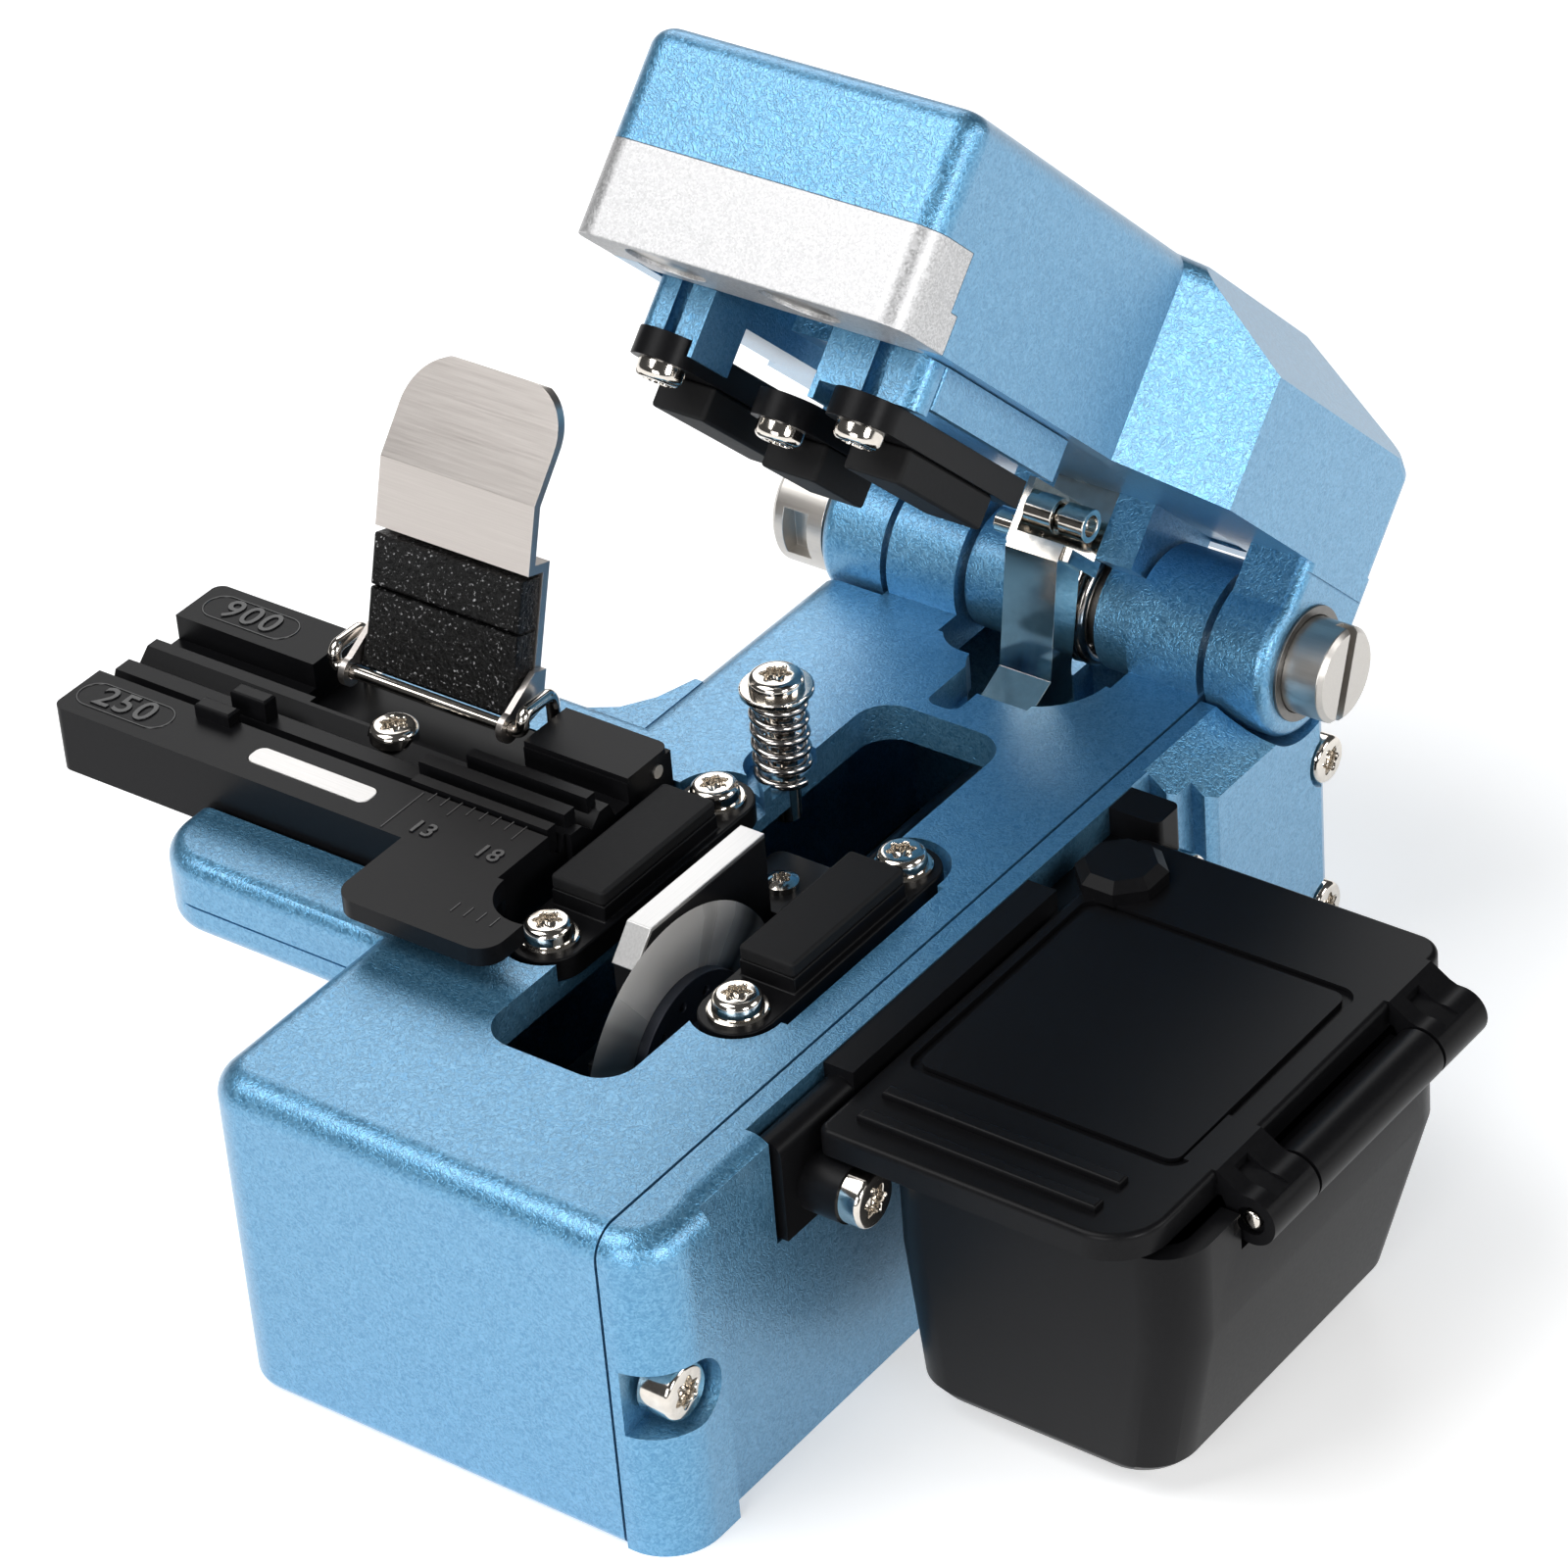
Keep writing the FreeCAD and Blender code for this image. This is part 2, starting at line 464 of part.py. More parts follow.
WIRE_LEFT, WIRE_RIGHT = -34.1, -18.95   # the wire's two hoops, outside the clamp's cheeks
WIRE_REAR, WIRE_ARCH, WIRE_FOOT = 7.6, 27.2, 22.4
export("fibre_holder", fibre_holder())
export("holder_inlay", slab(-32.15, -22.55, -6.65, -4.95, HOLDER_TOP - 0.4, HOLDER_TOP + 0.05, 0.65))
export("holder_screw", aimed(pan_screw(1.7, 1.0, 0.9, 3.0), (0, 0, 1), (-26.7, 1.3, 24.9)))
export("holder_pin", rod_x(0.45, -12.5, HOLDER_RIGHT + 0.15, 6.6, 24.9))


# ---- fibre clamp: a bent wire in the holder, a jogged steel plate and its foam ----
def wire_run(points, bend):
    """Bent wire: straight runs between the points, each corner turned on a radius."""
    spots = [V(*point) for point in points]
    edges = []
    start = spots[0]
    for before, corner, after in zip(spots, spots[1:], spots[2:]):
        back, ahead = (before - corner).normalize(), (after - corner).normalize()
        half = back.getAngle(ahead) / 2
        reach = bend / math.tan(half)
        entry, leave = corner + back * reach, corner + ahead * reach
        inward = (back + ahead).normalize()
        apex = corner + inward * (bend / math.sin(half) - bend)
        edges.append(Part.makeLine(start, entry))
        edges.append(Part.Arc(entry, apex, leave).toShape())
        start = leave
    edges.append(Part.makeLine(start, spots[-1]))
    first = edges[0]
    ring = Part.Wire(Part.makeCircle(WIRE_R, spots[0], first.Vertexes[-1].Point - spots[0]))
    return Part.Wire(edges).makePipeShell([ring], True, False)


def clamp_wire():
    """Bar that the clamp swings on; each end turns up, arches to the rear and dives into the holder."""
    low = CLAMP_Z
    path = [(WIRE_LEFT, WIRE_REAR, WIRE_FOOT), (WIRE_LEFT, WIRE_REAR, WIRE_ARCH), (WIRE_LEFT, CLAMP_Y, WIRE_ARCH),
            (WIRE_LEFT, CLAMP_Y, low), (WIRE_RIGHT, CLAMP_Y, low), (WIRE_RIGHT, CLAMP_Y, WIRE_ARCH),
            (WIRE_RIGHT, WIRE_REAR, WIRE_ARCH), (WIRE_RIGHT, WIRE_REAR, WIRE_FOOT)]
    return wire_run(path, 0.62)


def clamp_point(along, height):
    """Point of the shut clamp: distance from the axle towards the front, height above it."""
    return (CLAMP_Y - along, CLAMP_Z + height)


def clamp_plate():
    """Steel plate: set back behind the foam, jogged forward above it, its finger tab bent back."""
    section = [(0.6, 2.56), (9.6, 2.56), (9.6, 1.1), (14.2, 1.1), (20.8, 4.15), (20.55, 4.7), (14.05, 1.7),
               (10.2, 1.7), (10.2, 3.16), (0.6, 3.16)]
    plate = prism([clamp_point(a, h) for a, h in section], "x", CLAMP_LEFT, CLAMP_RIGHT)
    outline = box(CLAMP_LEFT, CLAMP_RIGHT, CLAMP_Y - 20.8, CLAMP_Y, CLAMP_Z, CLAMP_Z + 6)
    trimmed = rounded(outline, 3.4, lambda m, d: upright(d) and m.y < 0)
    tabs = []
    for x0, x1 in ((CLAMP_LEFT - 0.45, CLAMP_LEFT), (CLAMP_RIGHT, CLAMP_RIGHT + 0.45)):
        cheek = [(0.9, -0.3), (3.2, 2.0), (3.2, 3.16), (0.6, 3.16), (-0.85, 0.5)]
        tabs.append(prism([clamp_point(a, h) for a, h in cheek], "x", x0, x1))
        tabs.append(rod_x(1.0, x0, x1, CLAMP_Y, CLAMP_Z))
    bore = rod_x(WIRE_R + RUN_FIT, CLAMP_LEFT - 2, CLAMP_RIGHT + 2, CLAMP_Y, CLAMP_Z)
    return carve(join(plate.common(trimmed), tabs), bore)


def clamp_foam():
    """Foam pad in two leaves with a groove between them; its hinge end spreads a little."""
    leaves = []
    for near, far, splay in ((0.2, 5.7, 0.3), (5.85, 9.3, 0.0)):
        y0, z0 = clamp_point(far, 0.56)
        y1, z1 = clamp_point(near, 2.56)
        left, right = CLAMP_LEFT + 0.3, CLAMP_RIGHT - 0.15
        outline = [(left, y0), (right, y0), (right, y1 - 2.5), (right + splay * 0.4, y1), (left - splay, y1), (left, y1 - 2.5)]
        leaf = prism(outline, "z", z0, z1)
        leaves.append(rounded(leaf, 0.3, lambda m, d: abs(m.z - z0) < 1e-4))
    bridge_y, bridge_z = clamp_point(5.9, 1.1)
    leaves.append(box(CLAMP_LEFT + 0.45, CLAMP_RIGHT - 0.3, bridge_y, bridge_y + 0.25, bridge_z, CLAMP_Z + 2.56))
    leaf_room = rod_x(WIRE_R + 0.08, CLAMP_LEFT - 2, CLAMP_RIGHT + 2, CLAMP_Y, CLAMP_Z)
    return carve(join(leaves), leaf_room)


export("clamp_wire", clamp_wire())
export("clamp_plate", clamp_opened(clamp_plate()))
export("clamp_foam", clamp_opened(clamp_foam()))

# ---- spring post that the shut lid bears on ----
POST_SEAT, POST_HEAD, POST_HEAD_TOP = BASE_TOP - 1.1, 28.4, 29.7
FLANGE_R, FLANGE_H = 2.35, 0.45
post_head = pan_screw(1.75, POST_HEAD_TOP - POST_HEAD - FLANGE_H, 0.95, POST_HEAD + FLANGE_H - 19.2)
washer = rod_z(FLANGE_R, 0.0, FLANGE_H, 0, 0)
washer = washer.makeFillet(0.12, [e for e in washer.Edges if e.Length > 5])
washer.translate(V(POST_X, POST_Y, POST_HEAD))
post_flange = join(washer, aimed(post_head, (0, 0, 1), (POST_X, POST_Y, POST_HEAD + FLANGE_H)))
export("post_screw", post_flange)
post_coil = coil(1.62, 0.28, (POST_HEAD - POST_SEAT - 0.56) / 5, 5)
post_coil.translate(V(POST_X, POST_Y, POST_SEAT + 0.28))
export("post_spring", post_coil)

# ---- hinge shaft, cap and torsion spring ----
shaft = rod_x(SHAFT_R, -17.2, 20.3, HINGE_Y, HINGE_Z)
shaft = shaft.makeChamfer(0.3, [e for e in shaft.Edges if abs(e.BoundBox.XMin - 20.3) < 1e-3 and abs(e.BoundBox.XMax - 20.3) < 1e-3])
driver_slot = box(19.2, 21, HINGE_Y - 4, HINGE_Y + 4, HINGE_Z - 0.45, HINGE_Z + 0.45)
driver_slot.rotate(V(0, HINGE_Y, HINGE_Z), X_AXIS, 70)
export("hinge_shaft", carve(shaft, driver_slot))
cap = rod_x(4.0, -21.4, -17.2, HINGE_Y, HINGE_Z)
cap = cap.makeChamfer(0.4, [e for e in cap.Edges if abs(e.BoundBox.XMax + 21.4) < 1e-3])
cap_window = box(-20.3, -18.4, HINGE_Y - 6, HINGE_Y - 2.6, HINGE_Z - 1.7, HINGE_Z + 1.7)
export("hinge_cap", carve(cap, cap_window))


def torsion_spring():
    """Three coils around the shaft and a leg down to the rear wall."""
    coils = coil(3.9, 0.5, 0.95, 3)
    coils.rotate(V(0, 0, 0), Y_AXIS, 90)
    coils.rotate(V(0, 0, 0), X_AXIS, 90)
    coils.translate(V(0.7, HINGE_Y, HINGE_Z))
    leg = rod_z(0.5, 17.0, HINGE_Z, 0.7, HINGE_Y + 3.9)
    return join(coils, leg)


spring = torsion_spring()
export("torsion_spring", spring)


# ---- lid, drawn shut and turned open ----
def lid_ear(x0, x1, outer):
    """Round hinge ear with the block that carries the shell; its outer face has softened edges."""
    block = box(x0, x1, EAR_BLOCK_FRONT, LID_REAR, HINGE_Z, LID_BOTTOM + 1)
    ear = join(rod_x(EAR_R, x0, x1, HINGE_Y, HINGE_Z), block)
    face = x1 if outer > 0 else x0

    def softened(edge):
        bounds = edge.BoundBox
        on_face = abs(bounds.XMin - face) < 1e-3 and abs(bounds.XMax - face) < 1e-3
        return on_face and bounds.ZMax < LID_BOTTOM + 1.01 and bounds.ZMin < LID_BOTTOM

    return ear.makeFillet(0.9, [edge for edge in ear.Edges if softened(edge)])


def lid_shell():
    """Blue cover: straight front half, flared rear with sloped shoulders, two hinge ears."""
    outline = [(-LID_HALF, LID_FRONT), (LID_HALF, LID_FRONT), (LID_HALF, FLARE_START), (LID_HALF_REAR, FLARE_END),
               (LID_HALF_REAR, LID_REAR), (-LID_HALF_REAR, LID_REAR), (-LID_HALF_REAR, FLARE_END),
               (-LID_HALF, FLARE_START)]
    body = prism(outline, "z", LID_BOTTOM, LID_TOP)
    shoulders = []
    for side in (-1, 1):
        shoulders.append(prism([(side * 12.1, LID_TOP), (side * 19.0, LID_TOP - 6.1), (side * 19.0, LID_TOP + 1),
                                (side * 12.1, LID_TOP + 1)], "y", 10, 50))
    back_slope = prism([(32.0, LID_TOP), (43.5, LID_TOP - 5.4), (43.5, LID_TOP + 1), (32.0, LID_TOP + 1)], "x", -20, 20)
    body = carve(body, shoulders, back_slope)
    body = rounded(body, 1.9, lambda m, d: upright(d) and m.y < -10)
    body = rounded(body, 1.4, lambda m, d: abs(m.z - LID_TOP) < 1e-4 and m.y < 16)
    body = rounded(body, 1.2, lambda m, d: m.y > 40 and m.z > LID_BOTTOM + 2)
    ears = [lid_ear(-16.8, -11.8, -1), lid_ear(12.95, LID_HALF_REAR, 1)]
    body = join(body, ears)
    partings = [box(x0, x1, EAR_BLOCK_FRONT - 0.1, LID_REAR + 1, 29.24, 29.38) for x0, x1 in ((-18, -16.65), (17.15, 18))]
    hollow = box(-10, 10, -8.2, 39.5, LID_BOTTOM - 1, LID_TOP - LID_WALL)
    hollow = rounded(hollow, 1.0, lambda m, d: upright(d))
    inner_slope = prism([(30.5, LID_TOP - LID_WALL), (42.0, LID_TOP - LID_WALL - 5.6), (42.0, LID_TOP), (30.5, LID_TOP)],
                        "x", -11, 11)
    hollow = carve(hollow, inner_slope)
    bar_room = box(-LID_HALF - 1, LID_HALF + 1, LID_FRONT - 1, -8.2, LID_BOTTOM - 1, LID_SEAM)
    bar_step = box(-LID_HALF - 1, LID_HALF + 1, -8.3, -7.4, LID_BOTTOM - 1, 32.4)
    bore = rod_x(SHAFT_R + RUN_FIT, -18, 19, HINGE_Y, HINGE_Z)
    bush_seat = rod_x(3.8, 16.7, 19, HINGE_Y, HINGE_Z)
    return carve(body, hollow, bar_room, bar_step, bore, bush_seat, partings)


def lid_front_bar():
    """Aluminium front bar: rounded front corners, a lip under the lid's mouth and two magnet seats."""
    bar = box(-LID_HALF, LID_HALF, LID_FRONT, -8.2, LID_BOTTOM, LID_SEAM)
    bar = rounded(bar, 1.9, lambda m, d: upright(d) and m.y < -10)
    step = box(-LID_HALF, LID_HALF, -8.2, -7.4, LID_BOTTOM, 32.4)
    lip = slab(-9.9, 9.9, -8.4, -5.85, LID_BOTTOM, 31.4, 0.6)
    seats = [rod_z(2.5, LID_BOTTOM - 1, LID_BOTTOM + 2.0, x, -9.6) for x in MAGNET_X]
    return carve(join(bar, step, lip), seats)


MAGNET_X = (-6.6, 3.0)


SIDE_CLAMPS = ((-7.3, -5.0, 2.1, 10.4), (7.05, -5.1, 2.25, 10.9))   # x, boss y, radius, rear end
ANVIL_BOSS_Y, ANVIL_R, ANVIL_REAR = -1.95, 2.05, 9.0


def lid_frame():
    """Inner frame: cover plate, front blocks over the two side clamps, rail, anvil post, hinge sleeves."""
    plate = rounded(box(-9.9, 9.9, 3.0, 39.3, 30.2, 31.4), 1.2, lambda m, d: upright(d) and m.y > 39)
    left_front = rounded(box(-9.6, -5.0, -5.7, -1.8, 26.8, 34.0), 0.9, lambda m, d: upright(d) and m.x < -9 and m.y < -5)
    right_front = rounded(box(3.2, 10.3, -5.7, -4.2, 26.8, 34.0), 1.2, lambda m, d: upright(d) and m.x > 10 and m.y < -5)
    right_front = carve(right_front, box(9.9, 11, -6, -4, 29.9, 35))
    left_fin = box(-5.2, -4.9, -6.2, -1.8, 25.75, 29.9)
    right_fin = box(3.2, 3.6, -5.7, -1.8, 25.7, 29.9)
    blocks = [box(-9.9, -5.0, -1.8, 10.0, 28.9, 34.0), box(3.2, 9.9, -4.2, 10.4, 28.9, 34.0)]
    bridge = box(-9.9, 9.9, -0.5, 3.2, 33.0, 36.0)
    rail = slab(9.6, 10.4, -4.1, 12.0, 27.3, 29.9, 0.25)
    rail_roots = box(9.0, 9.9, -4.1, 12.0, 28.9, 30.4)
    anvil_post = box(-1.6, 1.6, 4.0, 8.6, ANVIL_TOP, 30.4)
    sleeves = []
    for x0, x1, front in ((-5.7, -0.7, HINGE_Y - 2.6), (4.2, 6.9, 31.0)):
        sleeves.append(rod_x(SLEEVE_R, x0, x1, HINGE_Y, HINGE_Z))
        sleeves.append(box(x0, x1, front, 39.4, 25.8, 30.4))
    bore = rod_x(SHAFT_R + RUN_FIT, -18, 19, HINGE_Y, HINGE_Z)
    screw_bores = [rod_z(0.82, 26, 30.5, x, y) for x, y, radius, rear in SIDE_CLAMPS]
    body = join(plate, left_front, right_front, left_fin, right_fin, blocks, bridge, rail, rail_roots, anvil_post, sleeves)
    return carve(body, bore, screw_bores)


export("lid_shell", opened(lid_shell()))
export("lid_front_bar", opened(lid_front_bar()))
export("bar_magnets", [opened(rod_z(2.5, LID_BOTTOM + 0.25, LID_BOTTOM + 2.0, x, -9.6)) for x in MAGNET_X])
export("lid_frame", opened(lid_frame()))
bush = carve(rod_x(3.8, 16.7, 17.5, HINGE_Y, HINGE_Z), rod_x(SHAFT_R + RUN_FIT, 16, 18, HINGE_Y, HINGE_Z))
export("ear_bush", opened(bush))



def clamp_bar(x, boss_y, radius, rear, bottom, top):
    """Bar with a round front end, its screw hole through the round."""
    bar = join(box(x - radius, x + radius, boss_y, rear, bottom, top), rod_z(radius, bottom, top, x, boss_y))
    return carve(bar, rod_z(0.82, bottom - 1, top + 1, x, boss_y))


upper_holders = [clamp_bar(x, y, radius, rear, UPPER_BOTTOM, UPPER_TOP) for x, y, radius, rear in SIDE_CLAMPS]
upper_holders.append(clamp_bar(0.0, ANVIL_BOSS_Y, ANVIL_R, ANVIL_REAR, ANVIL_BAR, ANVIL_TOP))
upper_pads = [slab(-9.2, -5.3, -2.0, 10.3, 22.85, UPPER_BOTTOM, 0.3), slab(5.05, 9.05, -2.4, 8.3, 22.8, UPPER_BOTTOM, 0.3),
              slab(-2.0, 2.0, 0.3, 6.6, ANVIL_BOTTOM, ANVIL_BAR, 0.3)]
upper_screw = pan_screw(1.7, 1.15, 0.8, 4.0)
anvil_screw = pan_screw(1.7, 1.1, 0.8, 1.5)
upper_screws = [aimed(upper_screw, (0, 0, -1), (x, y, UPPER_BOTTOM)) for x, y, radius, rear in SIDE_CLAMPS]
upper_screws.append(aimed(anvil_screw, (0, 0, -1), (0.0, ANVIL_BOSS_Y, ANVIL_BAR)))
export("upper_pad_holders", [opened(h) for h in upper_holders])
export("upper_pads", [opened(h) for h in upper_pads])
export("upper_pad_screws", [opened(h) for h in upper_screws])


def drive_arm():
    """Polished arm under the lid: a bracket shelf with one cheek, and the lever that hangs from it."""
    side = [(31.7, 20.4), (31.7, 22.6), (33.2, 29.6), (31.6, 31.9), (30.75, 31.1), (29.4, 22.9), (26.9, 21.7), (26.9, 20.4)]
    lever = prism(side, "x", ARM_LEFT, ARM_RIGHT)
    shelf = box(ARM_LEFT - 0.2, 4.05, 28.2, 32.2, 24.7, 25.6)
    cheek = box(ARM_LEFT - 0.2, ARM_LEFT + 0.3, 28.0, 32.2, 24.7, 29.2)
    back = box(ARM_LEFT - 0.2, 4.05, 31.3, 32.2, 24.7, 30.2)
    bracket = rounded(join(shelf, cheek, back), 0.4, lambda m, d: abs(d.y) > 2.5 and m.x < 0 and m.z < 25)
    return join(lever, opened(bracket))


def roller_pins():
    """Two turned collars on one pin right of the bracket's cheek, and two pin ends left of it."""
    y, z = ROLLER_Y, ROLLER_Z
    inner = carve(rod_x(1.2, ARM_LEFT + 0.3, 2.0, y, z), rod_x(0.85, 1.2, 3, y, z))
    outer = carve(rod_x(1.1, 2.5, 4.35, y, z), rod_x(0.7, 3.6, 5, y, z))
    neck = rod_x(0.7, 1.0, 2.8, y, z)
    ends = [rod_x(0.75, -2.9, ARM_LEFT - 0.2, 30.4, 26.2), rod_x(0.5, -2.4, ARM_LEFT - 0.2, 29.6, 28.0)]
    return [join(inner, outer, neck)] + ends


ROLLER_Y, ROLLER_Z = 28.9, 27.4
export("drive_arm", drive_arm())
export("roller_pins", [opened(pin) for pin in roller_pins()])


# ---- waste bin on its bracket ----
def bin_bracket():
    """Black bracket in the cover's pocket: two posts, a top bar and the arm that carries the bin."""
    back = box(COVER_POCKET_X, 16.4, -17.2, 22.3, 15.4, 20.9)
    front_post = rounded(box(COVER_POCKET_X, 16.4, -17.2, -10.0, 15.4, 22.3), 0.9,
                         lambda m, d: abs(m.z - 22.3) < 1e-4 and abs(d.y) > 1)
    bar = box(COVER_POCKET_X, 16.4, -10.0, 11.0, 20.0, 22.9)
    rear_post = rounded(box(COVER_POCKET_X, 17.9, 19.75, 22.3, 15.4, 22.9), 0.6, lambda m, d: upright(d) and m.x > 17)
    arm_block = box(16.4, BIN_LEFT, -8.0, 13.0, 14.0, 18.8)
    front_y, front_z = BRACKET_SCREWS[0]
    boss = rod_x(1.95, 16.4, 19.0, front_y, front_z)
    bores = [rod_x(1.0, COVER_POCKET_X - 1, 19.5, y, z) for y, z in BRACKET_SCREWS]
    return carve(join(back, front_post, bar, rear_post, arm_block, boss), bores)


export("bin_bracket", bin_bracket())
bracket_seats = [(x, y, z) for x, (y, z) in zip((19.0, 17.9), BRACKET_SCREWS)]
bracket_screws = []
for seat in bracket_seats:
    screw = pan_screw(1.8, 1.5, 0.98, seat[0] - SEAM_X - 0.85)
    bracket_screws.append(aimed(screw, (1, 0, 0), seat))
export("bracket_screws", bracket_screws)


def round_frame(x0, x1, y0, y1, radius, z):
    """Closed rectangle with round corners at one height."""
    corners = [(x1 - radius, y1 - radius, 0), (x0 + radius, y1 - radius, 90), (x0 + radius, y0 + radius, 180),
               (x1 - radius, y0 + radius, 270)]
    arcs = []
    for x, y, start in corners:
        spots = []
        for angle in (start, start + 45, start + 90):
            turn = math.radians(angle)
            spots.append(V(x + radius * math.cos(turn), y + radius * math.sin(turn), z))
        arcs.append(Part.Arc(*spots).toShape())
    edges = []
    for k, arc in enumerate(arcs):
        following = arcs[(k + 1) % 4]
        edges += [arc, Part.makeLine(arc.Vertexes[-1].Point, following.Vertexes[0].Point)]
    return Part.Wire(edges)


def bin_tub(inset, floor):
    """Tub outline shrunk by an inset: upright near side, leaning outer sides, round corners and foot."""
    frames = []
    for z, pull, lean in ((floor, 1.3, 1.0), (floor + 0.45, 0.5, 0.96), (floor + 1.4, 0.0, 0.88), (13.2, 0.0, 0.0),
                          (BIN_RIM, 0.0, 0.0)):
        step = inset + pull
        frames.append(round_frame(BIN_LEFT + step, BIN_RIGHT - step - 2.8 * lean, BIN_FRONT + step + 1.4 * lean,
                                  BIN_REAR - step - 2.1 * lean, 3.2 - inset, z))
    return Part.makeLoft(frames, True, True)


def bin_body():
    """Tub with the middle barrel of its lid hinge; the wall is let in round the lid's two ears."""
    tub = bin_tub(0.0, BIN_BOTTOM)
    start, end = BIN_BARREL
    barrel = rod_y(BIN_EAR_R, start, end, BIN_HINGE_X, BIN_HINGE_Z)
    web = prism([(38.8, 16.2), (40.6, 16.2), (42.1, 18.4), (41.5, 20.0), (38.8, BIN_RIM)], "y", start, end)
    spans = ((EAR_SPANS[0][0] - 0.4, start), (end, EAR_SPANS[1][1] + 0.4))
    ear_rooms = [rod_y(BIN_EAR_R + GAP, y0, y1, BIN_HINGE_X, BIN_HINGE_Z) for y0, y1 in spans]
    pin_bore = rod_y(BIN_PIN_R, -7, 18, BIN_HINGE_X, BIN_HINGE_Z)
    return carve(join(tub, barrel, web), bin_tub(BIN_WALL, BIN_BOTTOM + BIN_WALL), ear_rooms, pin_bore)


export("bin_body", bin_body())
export("bin_hinge_pin", rod_y(BIN_PIN_R, EAR_SPANS[0][0] + 0.1, EAR_SPANS[1][1] - 0.1, BIN_HINGE_X, BIN_HINGE_Z))


def bin_lid():
    """Flat lid with a shallow frame groove, two ribs, an eight-sided boss and two hinge ears."""
    plate = box(PLATE_LEFT, PLATE_RIGHT, PLATE_FRONT, PLATE_REAR, PLATE_Z, PLATE_TOP)
    plate = rounded(plate, 3.6, lambda m, d: upright(d) and m.x > 30 and m.y < 0)
    plate = rounded(plate, 1.8, lambda m, d: upright(d) and m.x > 30 and m.y > 0)
    plate = rounded(plate, 0.8, lambda m, d: upright(d) and m.x < 20)
    plate = rounded(plate, 0.4, at_height(PLATE_TOP))
    frame = carve(slab(17.7, 36.8, -7.0, 12.5, PLATE_TOP - 0.35, PLATE_TOP + 1, 1.2),
                  slab(18.3, 36.2, -6.4, 11.9, PLATE_TOP - 1, PLATE_TOP + 2, 0.8))
    ribs = [rounded(box(18.5, 34.9, y - 0.45, y + 0.45, PLATE_TOP - 0.2, PLATE_TOP + 0.45), 0.2, at_height(PLATE_TOP + 0.45))
            for y in (-9.7, -12.2)]
    eight = [(18.4 + 2.9 * math.cos(math.radians(45 * k + 22.5)), 15.0 + 2.9 * math.sin(math.radians(45 * k + 22.5)))
             for k in range(8)]
    boss = prism(eight, "z", PLATE_TOP - 0.1, PLATE_TOP + 1.4)
    boss = boss.makeChamfer(0.6, [e for e in boss.Edges if abs(e.BoundBox.ZMin - PLATE_TOP - 1.4) < 1e-3])
    ears = []
    section = [(36.4, PLATE_Z + 0.1), (36.4, PLATE_TOP), (PLATE_RIGHT, PLATE_TOP), (39.3, 21.55), (39.9, 21.15),
               (40.4, BIN_HINGE_Z + BIN_EAR_R), (BIN_HINGE_X, BIN_HINGE_Z + BIN_EAR_R), (BIN_HINGE_X, BIN_HINGE_Z),
               (39.2, BIN_HINGE_Z + 0.4), (38.9, PLATE_Z + 0.1)]
    for y0, y1 in EAR_SPANS:
        ears.append(join(rod_y(BIN_EAR_R, y0, y1, BIN_HINGE_X, BIN_HINGE_Z), prism(section, "y", y0, y1)))
    notches = []
    for y0, y1 in EAR_SPANS:
        notches.append(prism([(39.0, 21.2), (39.0, 22.5), (41.9, 22.5), (41.9, 20.6)], "y", y0 + 1.2, y0 + 2.6))
    bore = rod_y(BIN_PIN_R + RUN_FIT, -9, 18, BIN_HINGE_X, BIN_HINGE_Z)
    mouths = [rod_y(0.95, y0, y1, BIN_HINGE_X, BIN_HINGE_Z) for y0, y1 in ((-7, -5.5), (16.9, 18))]
    return carve(join(carve(plate, frame), ribs, boss, ears), notches, bore, mouths)


export("bin_lid", bin_lid())
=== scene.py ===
"""Fibre cleaver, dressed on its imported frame: finishes, fine detail, camera, floor and light."""
import logging
import math
from dataclasses import dataclass, field
from enum import Enum
from typing import Callable, Dict, List, Optional, Sequence, Tuple

import bmesh
import bpy
from mathutils import Matrix, Vector


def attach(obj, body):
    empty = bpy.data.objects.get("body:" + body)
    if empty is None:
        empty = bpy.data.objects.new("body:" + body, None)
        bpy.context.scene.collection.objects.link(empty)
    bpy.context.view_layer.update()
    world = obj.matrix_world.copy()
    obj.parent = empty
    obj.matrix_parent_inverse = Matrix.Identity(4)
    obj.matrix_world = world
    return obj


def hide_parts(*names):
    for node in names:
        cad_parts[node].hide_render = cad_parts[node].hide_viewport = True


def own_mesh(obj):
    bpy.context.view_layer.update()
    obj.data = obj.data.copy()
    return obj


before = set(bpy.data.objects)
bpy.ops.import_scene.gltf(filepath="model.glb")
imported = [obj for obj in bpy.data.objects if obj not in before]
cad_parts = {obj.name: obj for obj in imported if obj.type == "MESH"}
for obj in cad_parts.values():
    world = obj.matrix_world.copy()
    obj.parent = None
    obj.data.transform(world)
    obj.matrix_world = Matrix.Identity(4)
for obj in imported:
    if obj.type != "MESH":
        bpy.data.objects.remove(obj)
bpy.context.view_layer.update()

LOG = logging.getLogger("cleaver")
MM = 0.001
Triple = Tuple[float, float, float]
Span = Tuple[Triple, Triple]
Socket = bpy.types.NodeSocket
Tree = bpy.types.NodeTree
Mesh = bpy.types.Mesh
Node = bpy.types.Node
Object = bpy.types.Object
BMesh = bmesh.types.BMesh

BLADE_AXIS: Triple = (0.25, -5.7, 15.3)
COAT_ROUGHNESS = 0.33
LEAST_ROUGHNESS = 0.02
BRUSH_STRETCH = 0.02
NOISE_ROUGHNESS = 0.55
GRAINS_PER_SIZE = 2.2
